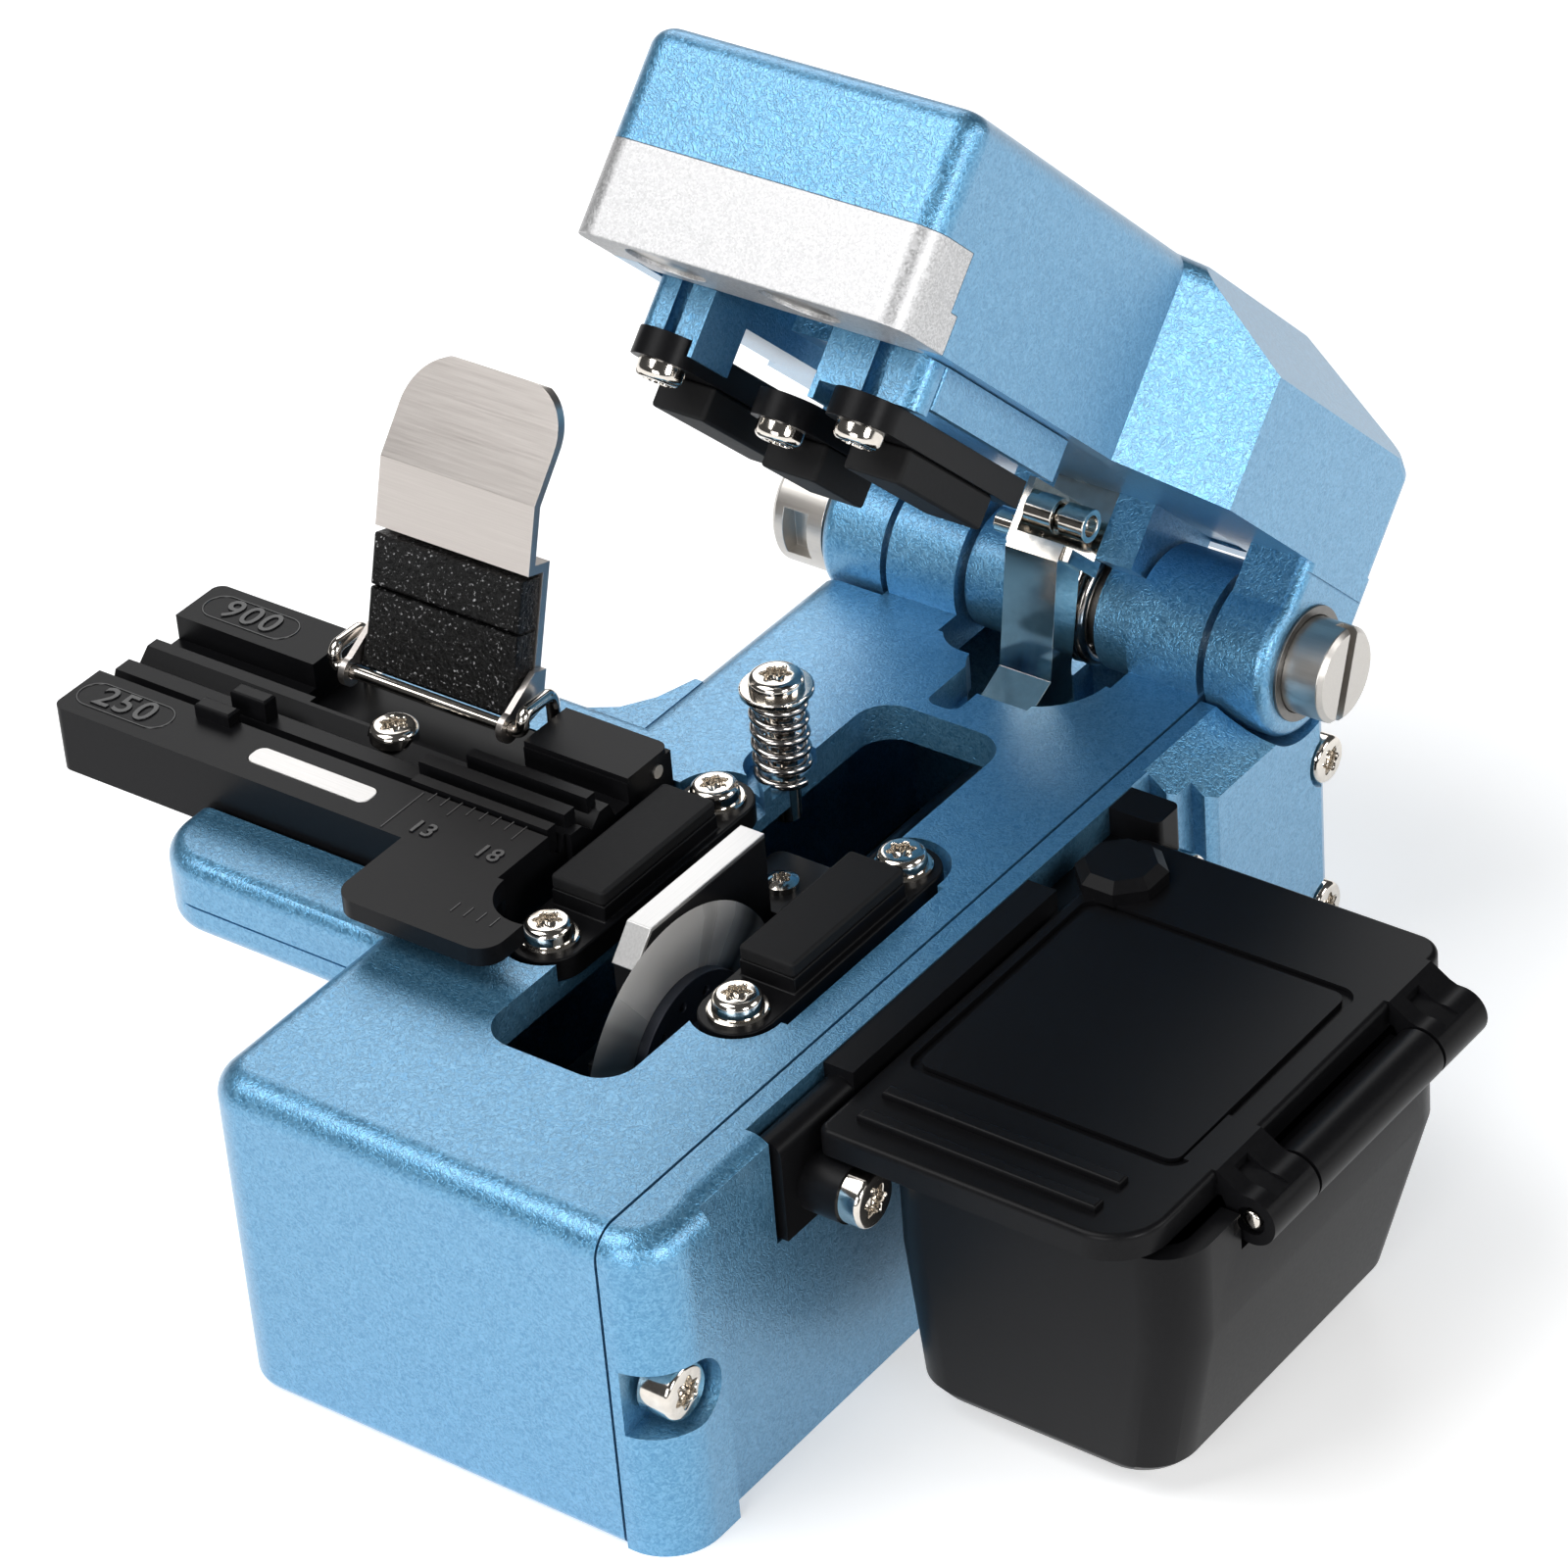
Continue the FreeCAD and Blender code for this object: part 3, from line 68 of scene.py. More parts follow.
# Scale, octaves and distortion of each noise, then the band of values that is stretched over 0 to 1.
PEEL_NOISE, PEEL_BAND = (1.0, 1.5, 1.8), (0.36, 0.64)
FOAM_NOISE = (1.0, 6.0, 0.4)
# Painted glints on the foam: their noise, and the band of it that turns bright.
FOAM_GLINTS, FOAM_GLINT_BAND = (1.7, 3.0, 0.0), (0.62, 0.72)
SPARKLE_NOISE = (1.0, 5.0, 0.0)
PLAIN_NOISE = (1.0, 2.5, 0.0)
RAY_DETAIL, RAY_BAND = 4.0, (0.44, 0.55)
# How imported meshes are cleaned, in metres and degrees, and how their edges are broken.
WELD = 2e-6
FLAT_ANGLE = 0.5
EDGE_STEPS = 2
LEVEL_WEIGHT = 80
# Sockets of a Mix node, which carry the same name for each kind of value.
MIX_SHARE, MIX_VALUE_A, MIX_VALUE_B, MIX_COLOUR_A, MIX_COLOUR_B = 0, 2, 3, 6, 7
MIX_VALUE, MIX_COLOUR = 0, 2


def put(node: Node, values: Dict[str, object]) -> None:
    """Sets inputs of a node by name."""
    for name, value in values.items():
        node.inputs[name].default_value = value


class Grain(Enum):
    """Kinds of fine surface relief."""

    PEEL = "peel"
    SPARKLE = "sparkle"
    BRUSHED_X = "brushed_x"
    BRUSHED_Y = "brushed_y"
    MOULDED = "moulded"
    # Foam relief, whose bright flecks paint glints.
    FOAM = "foam"
    # Light and dark wedges round the blade's axis, which paint reflections.
    RADIAL = "radial"
    CLEAN = "clean"


@dataclass(frozen=True)
class Finish:
    """One surface finish, turned into a node material on first use.

    Attributes:
        name: Material name.
        slot: Slot of the record that pieces in this finish stand for; not used here.
        tint: Main colour, linear.
        shade: Second colour that the grain mixes in, linear.
        metallic: Metal share of the shader.
        roughness: Mean roughness.
        spread: How far the roughness swings with the grain.
        grain: Kind of relief.
        size: Grain size in millimetres.
        depth: Relief depth in millimetres.
        coat: Weight of a clear coat.
        specular: Specular level of the part that isn't metal.
        fleck: Share of the colour swing that comes from single grains; on the aluminium these grains paint sparkle.
    """

    name: str
    slot: str
    tint: Triple
    shade: Triple
    metallic: float
    roughness: float
    spread: float
    grain: Grain
    size: float = 0.4
    depth: float = 0.01
    coat: float = 0.0
    specular: float = 0.5
    fleck: float = 0.0

    def material(self) -> bpy.types.Material:
        """Gives the material, made once.

        Returns:
            The node material of this finish.
        """
        found = bpy.data.materials.get(self.name)
        if found is not None:
            return found
        made = bpy.data.materials.new(self.name)
        made.use_nodes = True
        tree = made.node_tree
        link = tree.links.new
        shader = tree.nodes["Principled BSDF"]
        put(shader, {"Metallic": self.metallic, "Coat Weight": self.coat, "Coat Roughness": COAT_ROUGHNESS,
                     "Specular IOR Level": self.specular})
        place = tree.nodes.new("ShaderNodeTexCoord")
        stretch = tree.nodes.new("ShaderNodeMapping")
        stretch.inputs["Scale"].default_value = self._stretch()
        link(place.outputs["Object"], stretch.inputs["Vector"])
        vector = stretch.outputs["Vector"]
        height = self._relief(tree, vector)
        share = self._tone(tree, vector, height)
        mix = tree.nodes.new("ShaderNodeMix")
        mix.data_type = "RGBA"
        mix.inputs[MIX_COLOUR_A].default_value = (*self.tint, 1.0)
        mix.inputs[MIX_COLOUR_B].default_value = (*self.shade, 1.0)
        link(share, mix.inputs[MIX_SHARE])
        link(mix.outputs[MIX_COLOUR], shader.inputs["Base Color"])
        swing = tree.nodes.new("ShaderNodeMapRange")
        put(swing, {"To Min": max(LEAST_ROUGHNESS, self.roughness - self.spread),
                    "To Max": min(1.0, self.roughness + self.spread)})
        link(share, swing.inputs["Value"])
        link(swing.outputs["Result"], shader.inputs["Roughness"])
        if self.depth > 0:
            bump = tree.nodes.new("ShaderNodeBump")
            put(bump, {"Strength": 1.0, "Distance": self.depth * MM})
            link(height, bump.inputs["Height"])
            link(bump.outputs["Normal"], shader.inputs["Normal"])
        return made

    def _stretch(self) -> Triple:
        """Gives the pattern scale along each axis, in cycles per metre."""
        base = 1.0 / (self.size * MM)
        along = base * BRUSH_STRETCH
        return {
            Grain.BRUSHED_X: (along, base, base),
            Grain.BRUSHED_Y: (base, along, base),
        }.get(self.grain, (base, base, base))

    @staticmethod
    def _noise(tree: Tree, vector: Socket, scale: float, detail: float, warp: float) -> Socket:
        """Adds a noise texture and gives its value socket.

        Args:
            tree: Material tree to add to.
            vector: Scaled object coordinates.
            scale: Its scale.
            detail: Octaves of detail.
            warp: Distortion.

        Returns:
            The noise value, from 0 to 1.
        """
        noise = tree.nodes.new("ShaderNodeTexNoise")
        put(noise, {"Scale": scale, "Detail": detail, "Roughness": NOISE_ROUGHNESS, "Distortion": warp})
        tree.links.new(vector, noise.inputs["Vector"])
        return noise.outputs["Fac"]

    @staticmethod
    def _window(tree: Tree, value: Socket, low: float, high: float) -> Socket:
        """Stretches the values between two limits over 0 to 1.

        Args:
            tree: Material tree to add to.
            value: Value to stretch.
            low: Value that becomes 0.
            high: Value that becomes 1.

        Returns:
            The stretched value.
        """
        window = tree.nodes.new("ShaderNodeMapRange")
        put(window, {"From Min": low, "From Max": high})
        tree.links.new(value, window.inputs["Value"])
        return window.outputs["Result"]

    @staticmethod
    def _grains(tree: Tree, vector: Socket) -> Socket:
        """Adds cells with a random value each.

        Args:
            tree: Material tree to add to.
            vector: Scaled object coordinates.

        Returns:
            A random value per cell, from 0 to 1.
        """
        cells = tree.nodes.new("ShaderNodeTexVoronoi")
        cells.inputs["Scale"].default_value = GRAINS_PER_SIZE
        tree.links.new(vector, cells.inputs["Vector"])
        parts = tree.nodes.new("ShaderNodeSeparateColor")
        tree.links.new(cells.outputs["Color"], parts.inputs[0])
        return parts.outputs[0]

    def _relief(self, tree: Tree, vector: Socket) -> Socket:
        """Adds the nodes of the grain's height.

        Args:
            tree: Material tree to add to.
            vector: Scaled object coordinates.

        Returns:
            A height socket from 0 to 1.
        """
        if self.grain is Grain.PEEL:
            return self._window(tree, self._noise(tree, vector, *PEEL_NOISE), *PEEL_BAND)
        if self.grain is Grain.FOAM:
            return self._noise(tree, vector, *FOAM_NOISE)
        # On the blade this is the pattern of painted reflections.
        if self.grain is Grain.RADIAL:
            return self._painted_reflection_rays(tree)
        return self._noise(tree, vector, *(SPARKLE_NOISE if self.grain is Grain.SPARKLE else PLAIN_NOISE))

    def _painted_reflection_rays(self, tree: Tree) -> Socket:
        """Adds light and dark wedges round the blade's axis, which paint the reflections of a ground disc.

        Args:
            tree: Material tree to add to.

        Returns:
            A value from 0 to 1 that changes with the angle.
        """
        link = tree.links.new
        place = tree.nodes.new("ShaderNodeTexCoord")
        centre = tree.nodes.new("ShaderNodeMapping")
        centre.inputs["Location"].default_value = tuple(-c * MM for c in BLADE_AXIS)
        upright = tree.nodes.new("ShaderNodeMapping")
        upright.inputs["Rotation"].default_value = (0.0, math.pi / 2, 0.0)
        turn = tree.nodes.new("ShaderNodeTexGradient")
        turn.gradient_type = "RADIAL"
        noise = tree.nodes.new("ShaderNodeTexNoise")
        noise.noise_dimensions = "1D"
        put(noise, {"Scale": self.size, "Detail": RAY_DETAIL})
        link(place.outputs["Object"], centre.inputs["Vector"])
        link(centre.outputs[0], upright.inputs["Vector"])
        link(upright.outputs[0], turn.inputs["Vector"])
        link(turn.outputs["Fac"], noise.inputs["W"])
        return self._window(tree, noise.outputs["Fac"], *RAY_BAND)

    def _tone(self, tree: Tree, vector: Socket, height: Socket) -> Socket:
        """Adds the nodes that mix the two colours.

        Args:
            tree: Material tree to add to.
            vector: Scaled object coordinates.
            height: Height of the grain.

        Returns:
            A value from 0 to 1.
        """
        # On the foam, the second colour comes in small flecks that paint glints.
        if self.grain is Grain.FOAM:
            return self._window(tree, self._noise(tree, vector, *FOAM_GLINTS), *FOAM_GLINT_BAND)
        if self.fleck <= 0:
            return height
        blend = tree.nodes.new("ShaderNodeMix")
        blend.inputs[MIX_SHARE].default_value = self.fleck
        tree.links.new(height, blend.inputs[MIX_VALUE_A])
        tree.links.new(self._grains(tree, vector), blend.inputs[MIX_VALUE_B])
        return blend.outputs[MIX_VALUE]


BLUE = Finish(
    "blue_anodised", "blue_metal", (0.055, 0.235, 0.43), (0.165, 0.41, 0.63), metallic=0.72, roughness=0.36,
    spread=0.05, grain=Grain.PEEL, size=0.34, depth=0.017, coat=0.85, fleck=0.36)
# A lighter, glossier blue for the broken edges: it paints the highlights that run along them.
BLUE_EDGE_HIGHLIGHT = Finish(
    "blue_broken_edge", "blue_metal", (0.2, 0.43, 0.6), (0.32, 0.55, 0.72), metallic=0.72, roughness=0.3, spread=0.04,
    grain=Grain.PEEL, size=0.34, depth=0.006, coat=0.85, fleck=0.2)
# The random grain colours paint sparkle on the aluminium.
SILVER = Finish(
    "sparkling_aluminium", "bare_aluminium", (0.38, 0.38, 0.385), (0.74, 0.74, 0.745), metallic=0.8, roughness=0.48,
    spread=0.1, grain=Grain.SPARKLE, size=0.24, depth=0.012, fleck=0.65)
PLASTIC = Finish(
    "black_moulding", "black_plastic", (0.0042, 0.0042, 0.0048), (0.0075, 0.0075, 0.0085), metallic=0.0,
    roughness=0.36, spread=0.05, grain=Grain.MOULDED, size=0.25, depth=0.003, specular=0.11)
RUBBER = Finish(
    "soft_rubber", "rubber", (0.007, 0.007, 0.0076), (0.0125, 0.0125, 0.0132), metallic=0.0, roughness=0.62,
    spread=0.08, grain=Grain.MOULDED, size=0.3, depth=0.008, specular=0.16)
# The bright second colour, in small flecks, paints glints on the foam's cells.
FOAM = Finish(
    "closed_foam", "foam", (0.003, 0.003, 0.0031), (0.42, 0.42, 0.43), metallic=0.0, roughness=0.55, spread=0.25,
    grain=Grain.FOAM, size=0.36, depth=0.22, specular=0.18)
STEEL = Finish(
    "turned_steel", "steel", (0.5, 0.48, 0.455), (0.6, 0.575, 0.54), metallic=1.0, roughness=0.35, spread=0.05,
    grain=Grain.BRUSHED_X, size=0.12, depth=0.0004)
# Steel much darker than the turned steel, used for the bush ring in the lid's ear.
DARKER_STEEL = Finish(
    "dull_steel", "steel", (0.14, 0.135, 0.13), (0.22, 0.215, 0.205), metallic=1.0, roughness=0.36, spread=0.05,
    grain=Grain.MOULDED, size=0.3, depth=0.001)
SPRING_PLATE = Finish(
    "spring_steel_plate", "steel", (0.56, 0.515, 0.485), (0.7, 0.655, 0.62), metallic=1.0, roughness=0.31,
    spread=0.05, grain=Grain.BRUSHED_X, size=0.1, depth=0.001)
BRIGHT = Finish(
    "bright_steel", "bright_screws", (0.6, 0.55, 0.49), (0.84, 0.8, 0.74), metallic=1.0, roughness=0.12, spread=0.04,
    grain=Grain.CLEAN, size=0.6, depth=0.0005)
SPRING_WIRE = Finish(
    "spring_wire", "bright_screws", (0.3, 0.28, 0.27), (0.52, 0.5, 0.48), metallic=1.0, roughness=0.18, spread=0.05,
    grain=Grain.CLEAN, size=0.5, depth=0.0005)
MACHINED = Finish(
    "fresh_machined", "machined_steel", (0.46, 0.455, 0.45), (0.68, 0.675, 0.67), metallic=0.85, roughness=0.36,
    spread=0.08, grain=Grain.BRUSHED_Y, size=0.14, depth=0.002)
# Dark and bright colours in wedges round the axis: painted reflections on the ground disc.
BLADE = Finish(
    "ground_blade", "machined_steel", (0.1, 0.1, 0.1), (1.0, 0.97, 0.93), metallic=0.42, roughness=0.22, spread=0.06,
    grain=Grain.RADIAL, size=3.2, depth=0.0)
BLACKENED = Finish(
    "blackened_steel", "dark_metal", (0.012, 0.012, 0.013), (0.022, 0.022, 0.024), metallic=0.4, roughness=0.34,
    spread=0.06, grain=Grain.MOULDED, size=0.3, depth=0.003, specular=0.35)
HUB = Finish(
    "hub_black", "dark_metal", (0.03, 0.034, 0.046), (0.045, 0.05, 0.066), metallic=0.3, roughness=0.34, spread=0.05,
    grain=Grain.MOULDED, size=0.3, depth=0.002)
INLAY = Finish(
    "bright_inlay", "bare_aluminium", (0.6, 0.585, 0.57), (0.8, 0.79, 0.78), metallic=0.7, roughness=0.42,
    spread=0.05, grain=Grain.BRUSHED_X, size=0.12, depth=0.0008)
MARKING = Finish(
    "raised_marking", "black_plastic", (0.01, 0.01, 0.011), (0.014, 0.014, 0.015), metallic=0.0, roughness=0.26,
    spread=0.03, grain=Grain.CLEAN, size=0.3, depth=0.0005, specular=0.4)


def smooth(mesh: Mesh, angle: float = 32.0) -> None:
    """Shades a mesh smooth, with every edge above the angle kept sharp.

    Args:
        mesh: Mesh to shade.
        angle: Limit in degrees.
    """
    mesh.polygons.foreach_set("use_smooth", [True] * len(mesh.polygons))
    work = bmesh.new()
    work.from_mesh(mesh)
    limit = math.radians(angle)
    for edge in work.edges:
        edge.smooth = len(edge.link_faces) == 2 and edge.calc_face_angle(0.0) < limit
    work.to_mesh(mesh)
    work.free()


def linked(name: str, data: Optional[bpy.types.ID]) -> Object:
    """Makes an object of some data and puts it in the scene."""
    made = bpy.data.objects.new(name, data)
    bpy.context.scene.collection.objects.link(made)
    return made


def stitch(work: BMesh, rows: Sequence[Sequence[bmesh.types.BMVert]], closed: bool = False) -> None:
    """Joins rows of vertices, each closed on itself, into a skin of quads.

    Args:
        work: Mesh that holds the vertices.
        rows: Rows of equal length.
        closed: Join the last row to the first as well.
    """
    following = [*rows[1:], rows[0]] if closed else rows[1:]
    for here, there in zip(rows, following):
        count = len(here)
        for k in range(count):
            n = (k + 1) % count
            work.faces.new((here[k], here[n], there[n], there[k]))


def plain_mesh(work: BMesh, name: str, angle: Optional[float] = None, turn_out: bool = True) -> Mesh:
    """Ends the building of a mesh.

    Args:
        work: Mesh being built, which is freed.
        name: Name of the result.
        angle: Limit in degrees for smooth shading; flat when left out.
        turn_out: Turn the faces outwards first.

    Returns:
        The plain mesh.
    """
    if turn_out:
        bmesh.ops.recalc_face_normals(work, faces=work.faces)
    mesh = bpy.data.meshes.new(name)
    work.to_mesh(mesh)
    work.free()
    if angle is not None:
        smooth(mesh, angle)
    return mesh


def add(name: str, mesh: Mesh, finish: Finish, body: str) -> Object:
    """Adds a finished piece that moves with a body.

    Args:
        name: Piece name.
        mesh: Its mesh, in place.
        finish: Its finish.
        body: Body that it rides on.

    Returns:
        The new object.
    """
    mesh.materials.clear()
    mesh.materials.append(finish.material())
    piece = linked(name, mesh)
    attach(piece, body)
    LOG.info("%s: %d faces on %s", name, len(mesh.polygons), body)
    return piece


def evaluated(piece: Object) -> Mesh:
    """Gives a copy of an object's mesh with its modifiers applied."""
    bpy.context.view_layer.update()
    return bpy.data.meshes.new_from_object(piece.evaluated_get(bpy.context.evaluated_depsgraph_get()))


def settled(piece: Object, keep_smooth: bool = True) -> Mesh:
    """Turns an object with modifiers into a plain mesh and removes the object.

    Args:
        piece: Object to settle.
        keep_smooth: Shade the result smooth by angle.

    Returns:
        The plain mesh.
    """
    mesh = evaluated(piece)
    old = piece.data
    bpy.data.objects.remove(piece)
    if old.users == 0 and isinstance(old, Mesh):
        bpy.data.meshes.remove(old)
    if keep_smooth:
        smooth(mesh)
    return mesh


def weigh(mesh: Mesh, share: Callable[[Vector], float]) -> None:
    """Gives each sharp edge its share of the broken width.

    Args:
        mesh: Mesh whose sharp edges are marked.
        share: Share from 0 to 1 at an edge's middle, given in millimetres.
    """
    work = bmesh.new()
    work.from_mesh(mesh)
    layer = work.edges.layers.float.new("bevel_weight_edge")
    for edge in work.edges:
        if not edge.smooth:
            edge[layer] = share((edge.verts[0].co + edge.verts[1].co) / (2 * MM))
    work.to_mesh(mesh)
    work.free()


def trimmed(holder: Object, boxes: Sequence[Span], way: str) -> None:
    """Cuts boxes out of a piece or joins them to it.

    Args:
        holder: Piece to change.
        boxes: Lowest and highest corner of each box in millimetres.
        way: DIFFERENCE or UNION.
    """
    for low, high in boxes:
        work = bmesh.new()
        bmesh.ops.create_cube(work, size=1.0)
        for vert in work.verts:
            vert.co = Vector([(low[k] + high[k]) / 2 * MM + vert.co[k] * (high[k] - low[k]) * MM for k in range(3)])
        cutter_mesh = plain_mesh(work, "cutter", turn_out=False)
        cutter = linked("cutter", cutter_mesh)
        cut = holder.modifiers.new("cut", "BOOLEAN")
        cut.operation = way
        cut.solver = "EXACT"
        cut.object = cutter
        mesh = evaluated(holder)
        holder.modifiers.clear()
        old, holder.data = holder.data, mesh
        bpy.data.meshes.remove(old)
        bpy.data.objects.remove(cutter)
        bpy.data.meshes.remove(cutter_mesh)


def dressed(node: str, finish: Finish, body: str, name: str, edge: float, crease: float = 30.0,
            cuts: Sequence[Span] = (), fills: Sequence[Span] = (),
            share: Optional[Callable[[Vector], float]] = None, rim: Optional[Finish] = None) -> Object:
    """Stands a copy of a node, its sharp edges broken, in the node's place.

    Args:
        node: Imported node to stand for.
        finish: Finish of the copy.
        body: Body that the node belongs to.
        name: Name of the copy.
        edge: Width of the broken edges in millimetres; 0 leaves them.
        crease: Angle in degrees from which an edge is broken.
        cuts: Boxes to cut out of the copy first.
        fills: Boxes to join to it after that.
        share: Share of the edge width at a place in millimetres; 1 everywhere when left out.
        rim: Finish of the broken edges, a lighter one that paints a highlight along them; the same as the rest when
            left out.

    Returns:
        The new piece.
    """
    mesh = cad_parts[node].data.copy()
    work = bmesh.new()
    work.from_mesh(mesh)
    bmesh.ops.remove_doubles(work, verts=work.verts, dist=WELD)
    bmesh.ops.dissolve_limit(work, angle_limit=math.radians(FLAT_ANGLE), verts=work.verts, edges=work.edges)
    work.to_mesh(mesh)
    work.free()
    holder = linked(node + "_work", mesh)
    trimmed(holder, cuts, "DIFFERENCE")
    trimmed(holder, fills, "UNION")
    smooth(holder.data, crease)
    if edge > 0:
        soften = holder.modifiers.new("edges", "BEVEL")
        soften.width = edge * MM
        soften.segments = EDGE_STEPS
        soften.limit_method = "ANGLE"
        # The rim finish, lighter than the rest, paints a highlight on the broken edges.
        if rim is not None:
            holder.data.materials.clear()
            holder.data.materials.append(finish.material())
            holder.data.materials.append(rim.material())
            soften.material = 1
        if share is not None:
            soften.limit_method = "WEIGHT"
            weigh(holder.data, share)
        soften.angle_limit = math.radians(crease)
        soften.harden_normals = True
        soften.use_clamp_overlap = True
        level = holder.modifiers.new("faces", "WEIGHTED_NORMAL")
        level.keep_sharp = True
        level.weight = LEVEL_WEIGHT
    mesh = settled(holder, edge <= 0)
    zones = [face.material_index for face in mesh.polygons]
    piece = add(name, mesh, finish, body)
    # The broken edges keep the rim finish, which paints their highlight.
    if rim is not None:
        mesh.materials.append(rim.material())
        mesh.polygons.foreach_set("material_index", zones)
    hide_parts(node)
    return piece


class Kit:
    """Geometry Nodes trees that the sub-assemblies share."""

    COIL_STEPS = 36
    WIRE_STEPS = 14

    @staticmethod
    def _tree(name: str, inputs: Dict[str, str]) -> Tuple[Tree, Node, Node]:
        """Starts a tree with named inputs.

        Args:
            name: Tree name.
            inputs: Socket kind of each input after the geometry, by name.

        Returns:
            The tree, its input node and its output node.
        """
        tree = bpy.data.node_groups.new(name, "GeometryNodeTree")
        tree.interface.new_socket("Geometry", in_out="INPUT", socket_type="NodeSocketGeometry")
        for label, kind in inputs.items():
            tree.interface.new_socket(label, in_out="INPUT", socket_type="NodeSocket" + kind)
        tree.interface.new_socket("Geometry", in_out="OUTPUT", socket_type="NodeSocketGeometry")
        return tree, tree.nodes.new("NodeGroupInput"), tree.nodes.new("NodeGroupOutput")

    @staticmethod
    def _finish(tree: Tree, shape: Socket, start: Node, end: Node) -> None:
        """Ends a tree in Realize Instances and Set Material.

        Args:
            tree: Tree to end.
            shape: Geometry so far.
            start: Group input, which holds the Finish input.
            end: Group output.
        """
        link = tree.links.new
        real = tree.nodes.new("GeometryNodeRealizeInstances")
        paint = tree.nodes.new("GeometryNodeSetMaterial")
        link(shape, real.inputs[0])
        link(real.outputs[0], paint.inputs["Geometry"])
        link(start.outputs["Finish"], paint.inputs["Material"])
        link(paint.outputs[0], end.inputs[0])

    @staticmethod
    def run(tree: Tree, seed_mesh: Mesh, values: Dict[str, object]) -> Mesh:
        """Runs a tree on a mesh.

        Args:
            tree: Tree to run.
            seed_mesh: Mesh that it starts from.
            values: Input values by input name.

        Returns:
            The plain result.
        """
        carrier = linked(tree.name + "_carrier", seed_mesh)
        step = carrier.modifiers.new("build", "NODES")
        step.node_group = tree
        for item in tree.interface.items_tree:
            if item.in_out == "INPUT" and item.name in values:
                step[item.identifier] = values[item.name]
        return settled(carrier)

    @classmethod
    def scatter(cls) -> Tree:
        """Gives the tree that stands one object on every vertex, turned by a vector and spun at random.

        Returns:
            The tree.
        """
        found = bpy.data.node_groups.get("stand_on_points")
        if found is not None:
            return found
        tree, start, end = cls._tree("stand_on_points", {
            "Piece": "Object", "Aim": "Vector", "Spin": "Float", "Seed": "Int", "Finish": "Material"})
        link = tree.links.new
        info = tree.nodes.new("GeometryNodeObjectInfo")
        link(start.outputs["Piece"], info.inputs["Object"])
        points = tree.nodes.new("GeometryNodeMeshToPoints")
        link(start.outputs["Geometry"], points.inputs["Mesh"])
        spin = tree.nodes.new("FunctionNodeRandomValue")
        spin.data_type = "FLOAT"
        link(start.outputs["Spin"], spin.inputs[3])
        link(start.outputs["Seed"], spin.inputs["Seed"])
        turn = tree.nodes.new("ShaderNodeCombineXYZ")
        link(spin.outputs[1], turn.inputs["Z"])
        aimed = tree.nodes.new("FunctionNodeRotateRotation")
        aimed.rotation_space = "LOCAL"
        link(start.outputs["Aim"], aimed.inputs["Rotation"])
        link(turn.outputs[0], aimed.inputs["Rotate By"])
        stand = tree.nodes.new("GeometryNodeInstanceOnPoints")
        link(points.outputs[0], stand.inputs["Points"])
        link(info.outputs["Geometry"], stand.inputs["Instance"])
        link(aimed.outputs[0], stand.inputs["Rotation"])
        cls._finish(tree, stand.outputs[0], start, end)
        return tree

    @classmethod
    def coil(cls) -> Tree:
        """Gives the tree that winds a wire coil along +Z from the origin.

        Returns:
            The tree.
        """
        found = bpy.data.node_groups.get("wound_wire")
        if found is not None:
            return found
        tree, start, end = cls._tree("wound_wire", {
            "Turns": "Float", "Radius": "Float", "Height": "Float", "Wire": "Float", "Finish": "Material"})
        link = tree.links.new
        spiral = tree.nodes.new("GeometryNodeCurveSpiral")
        spiral.inputs["Resolution"].default_value = cls.COIL_STEPS
        link(start.outputs["Turns"], spiral.inputs["Rotations"])
        link(start.outputs["Radius"], spiral.inputs["Start Radius"])
        link(start.outputs["Radius"], spiral.inputs["End Radius"])
        link(start.outputs["Height"], spiral.inputs["Height"])
        ring = tree.nodes.new("GeometryNodeCurvePrimitiveCircle")
        ring.inputs["Resolution"].default_value = cls.WIRE_STEPS
        link(start.outputs["Wire"], ring.inputs["Radius"])
        skin = tree.nodes.new("GeometryNodeCurveToMesh")
        skin.inputs["Fill Caps"].default_value = True
        link(spiral.outputs[0], skin.inputs["Curve"])
        link(ring.outputs[0], skin.inputs["Profile Curve"])
        cls._finish(tree, skin.outputs[0], start, end)
        return tree


def points_mesh(name: str, spots: Sequence[Triple]) -> Mesh:
    """Makes a mesh of loose vertices.

    Args:
        name: Mesh name.
        spots: Places in millimetres.

    Returns:
        The mesh.
    """
    mesh = bpy.data.meshes.new(name)
    mesh.from_pydata([tuple(c * MM for c in spot) for spot in spots], [], [])
    return mesh


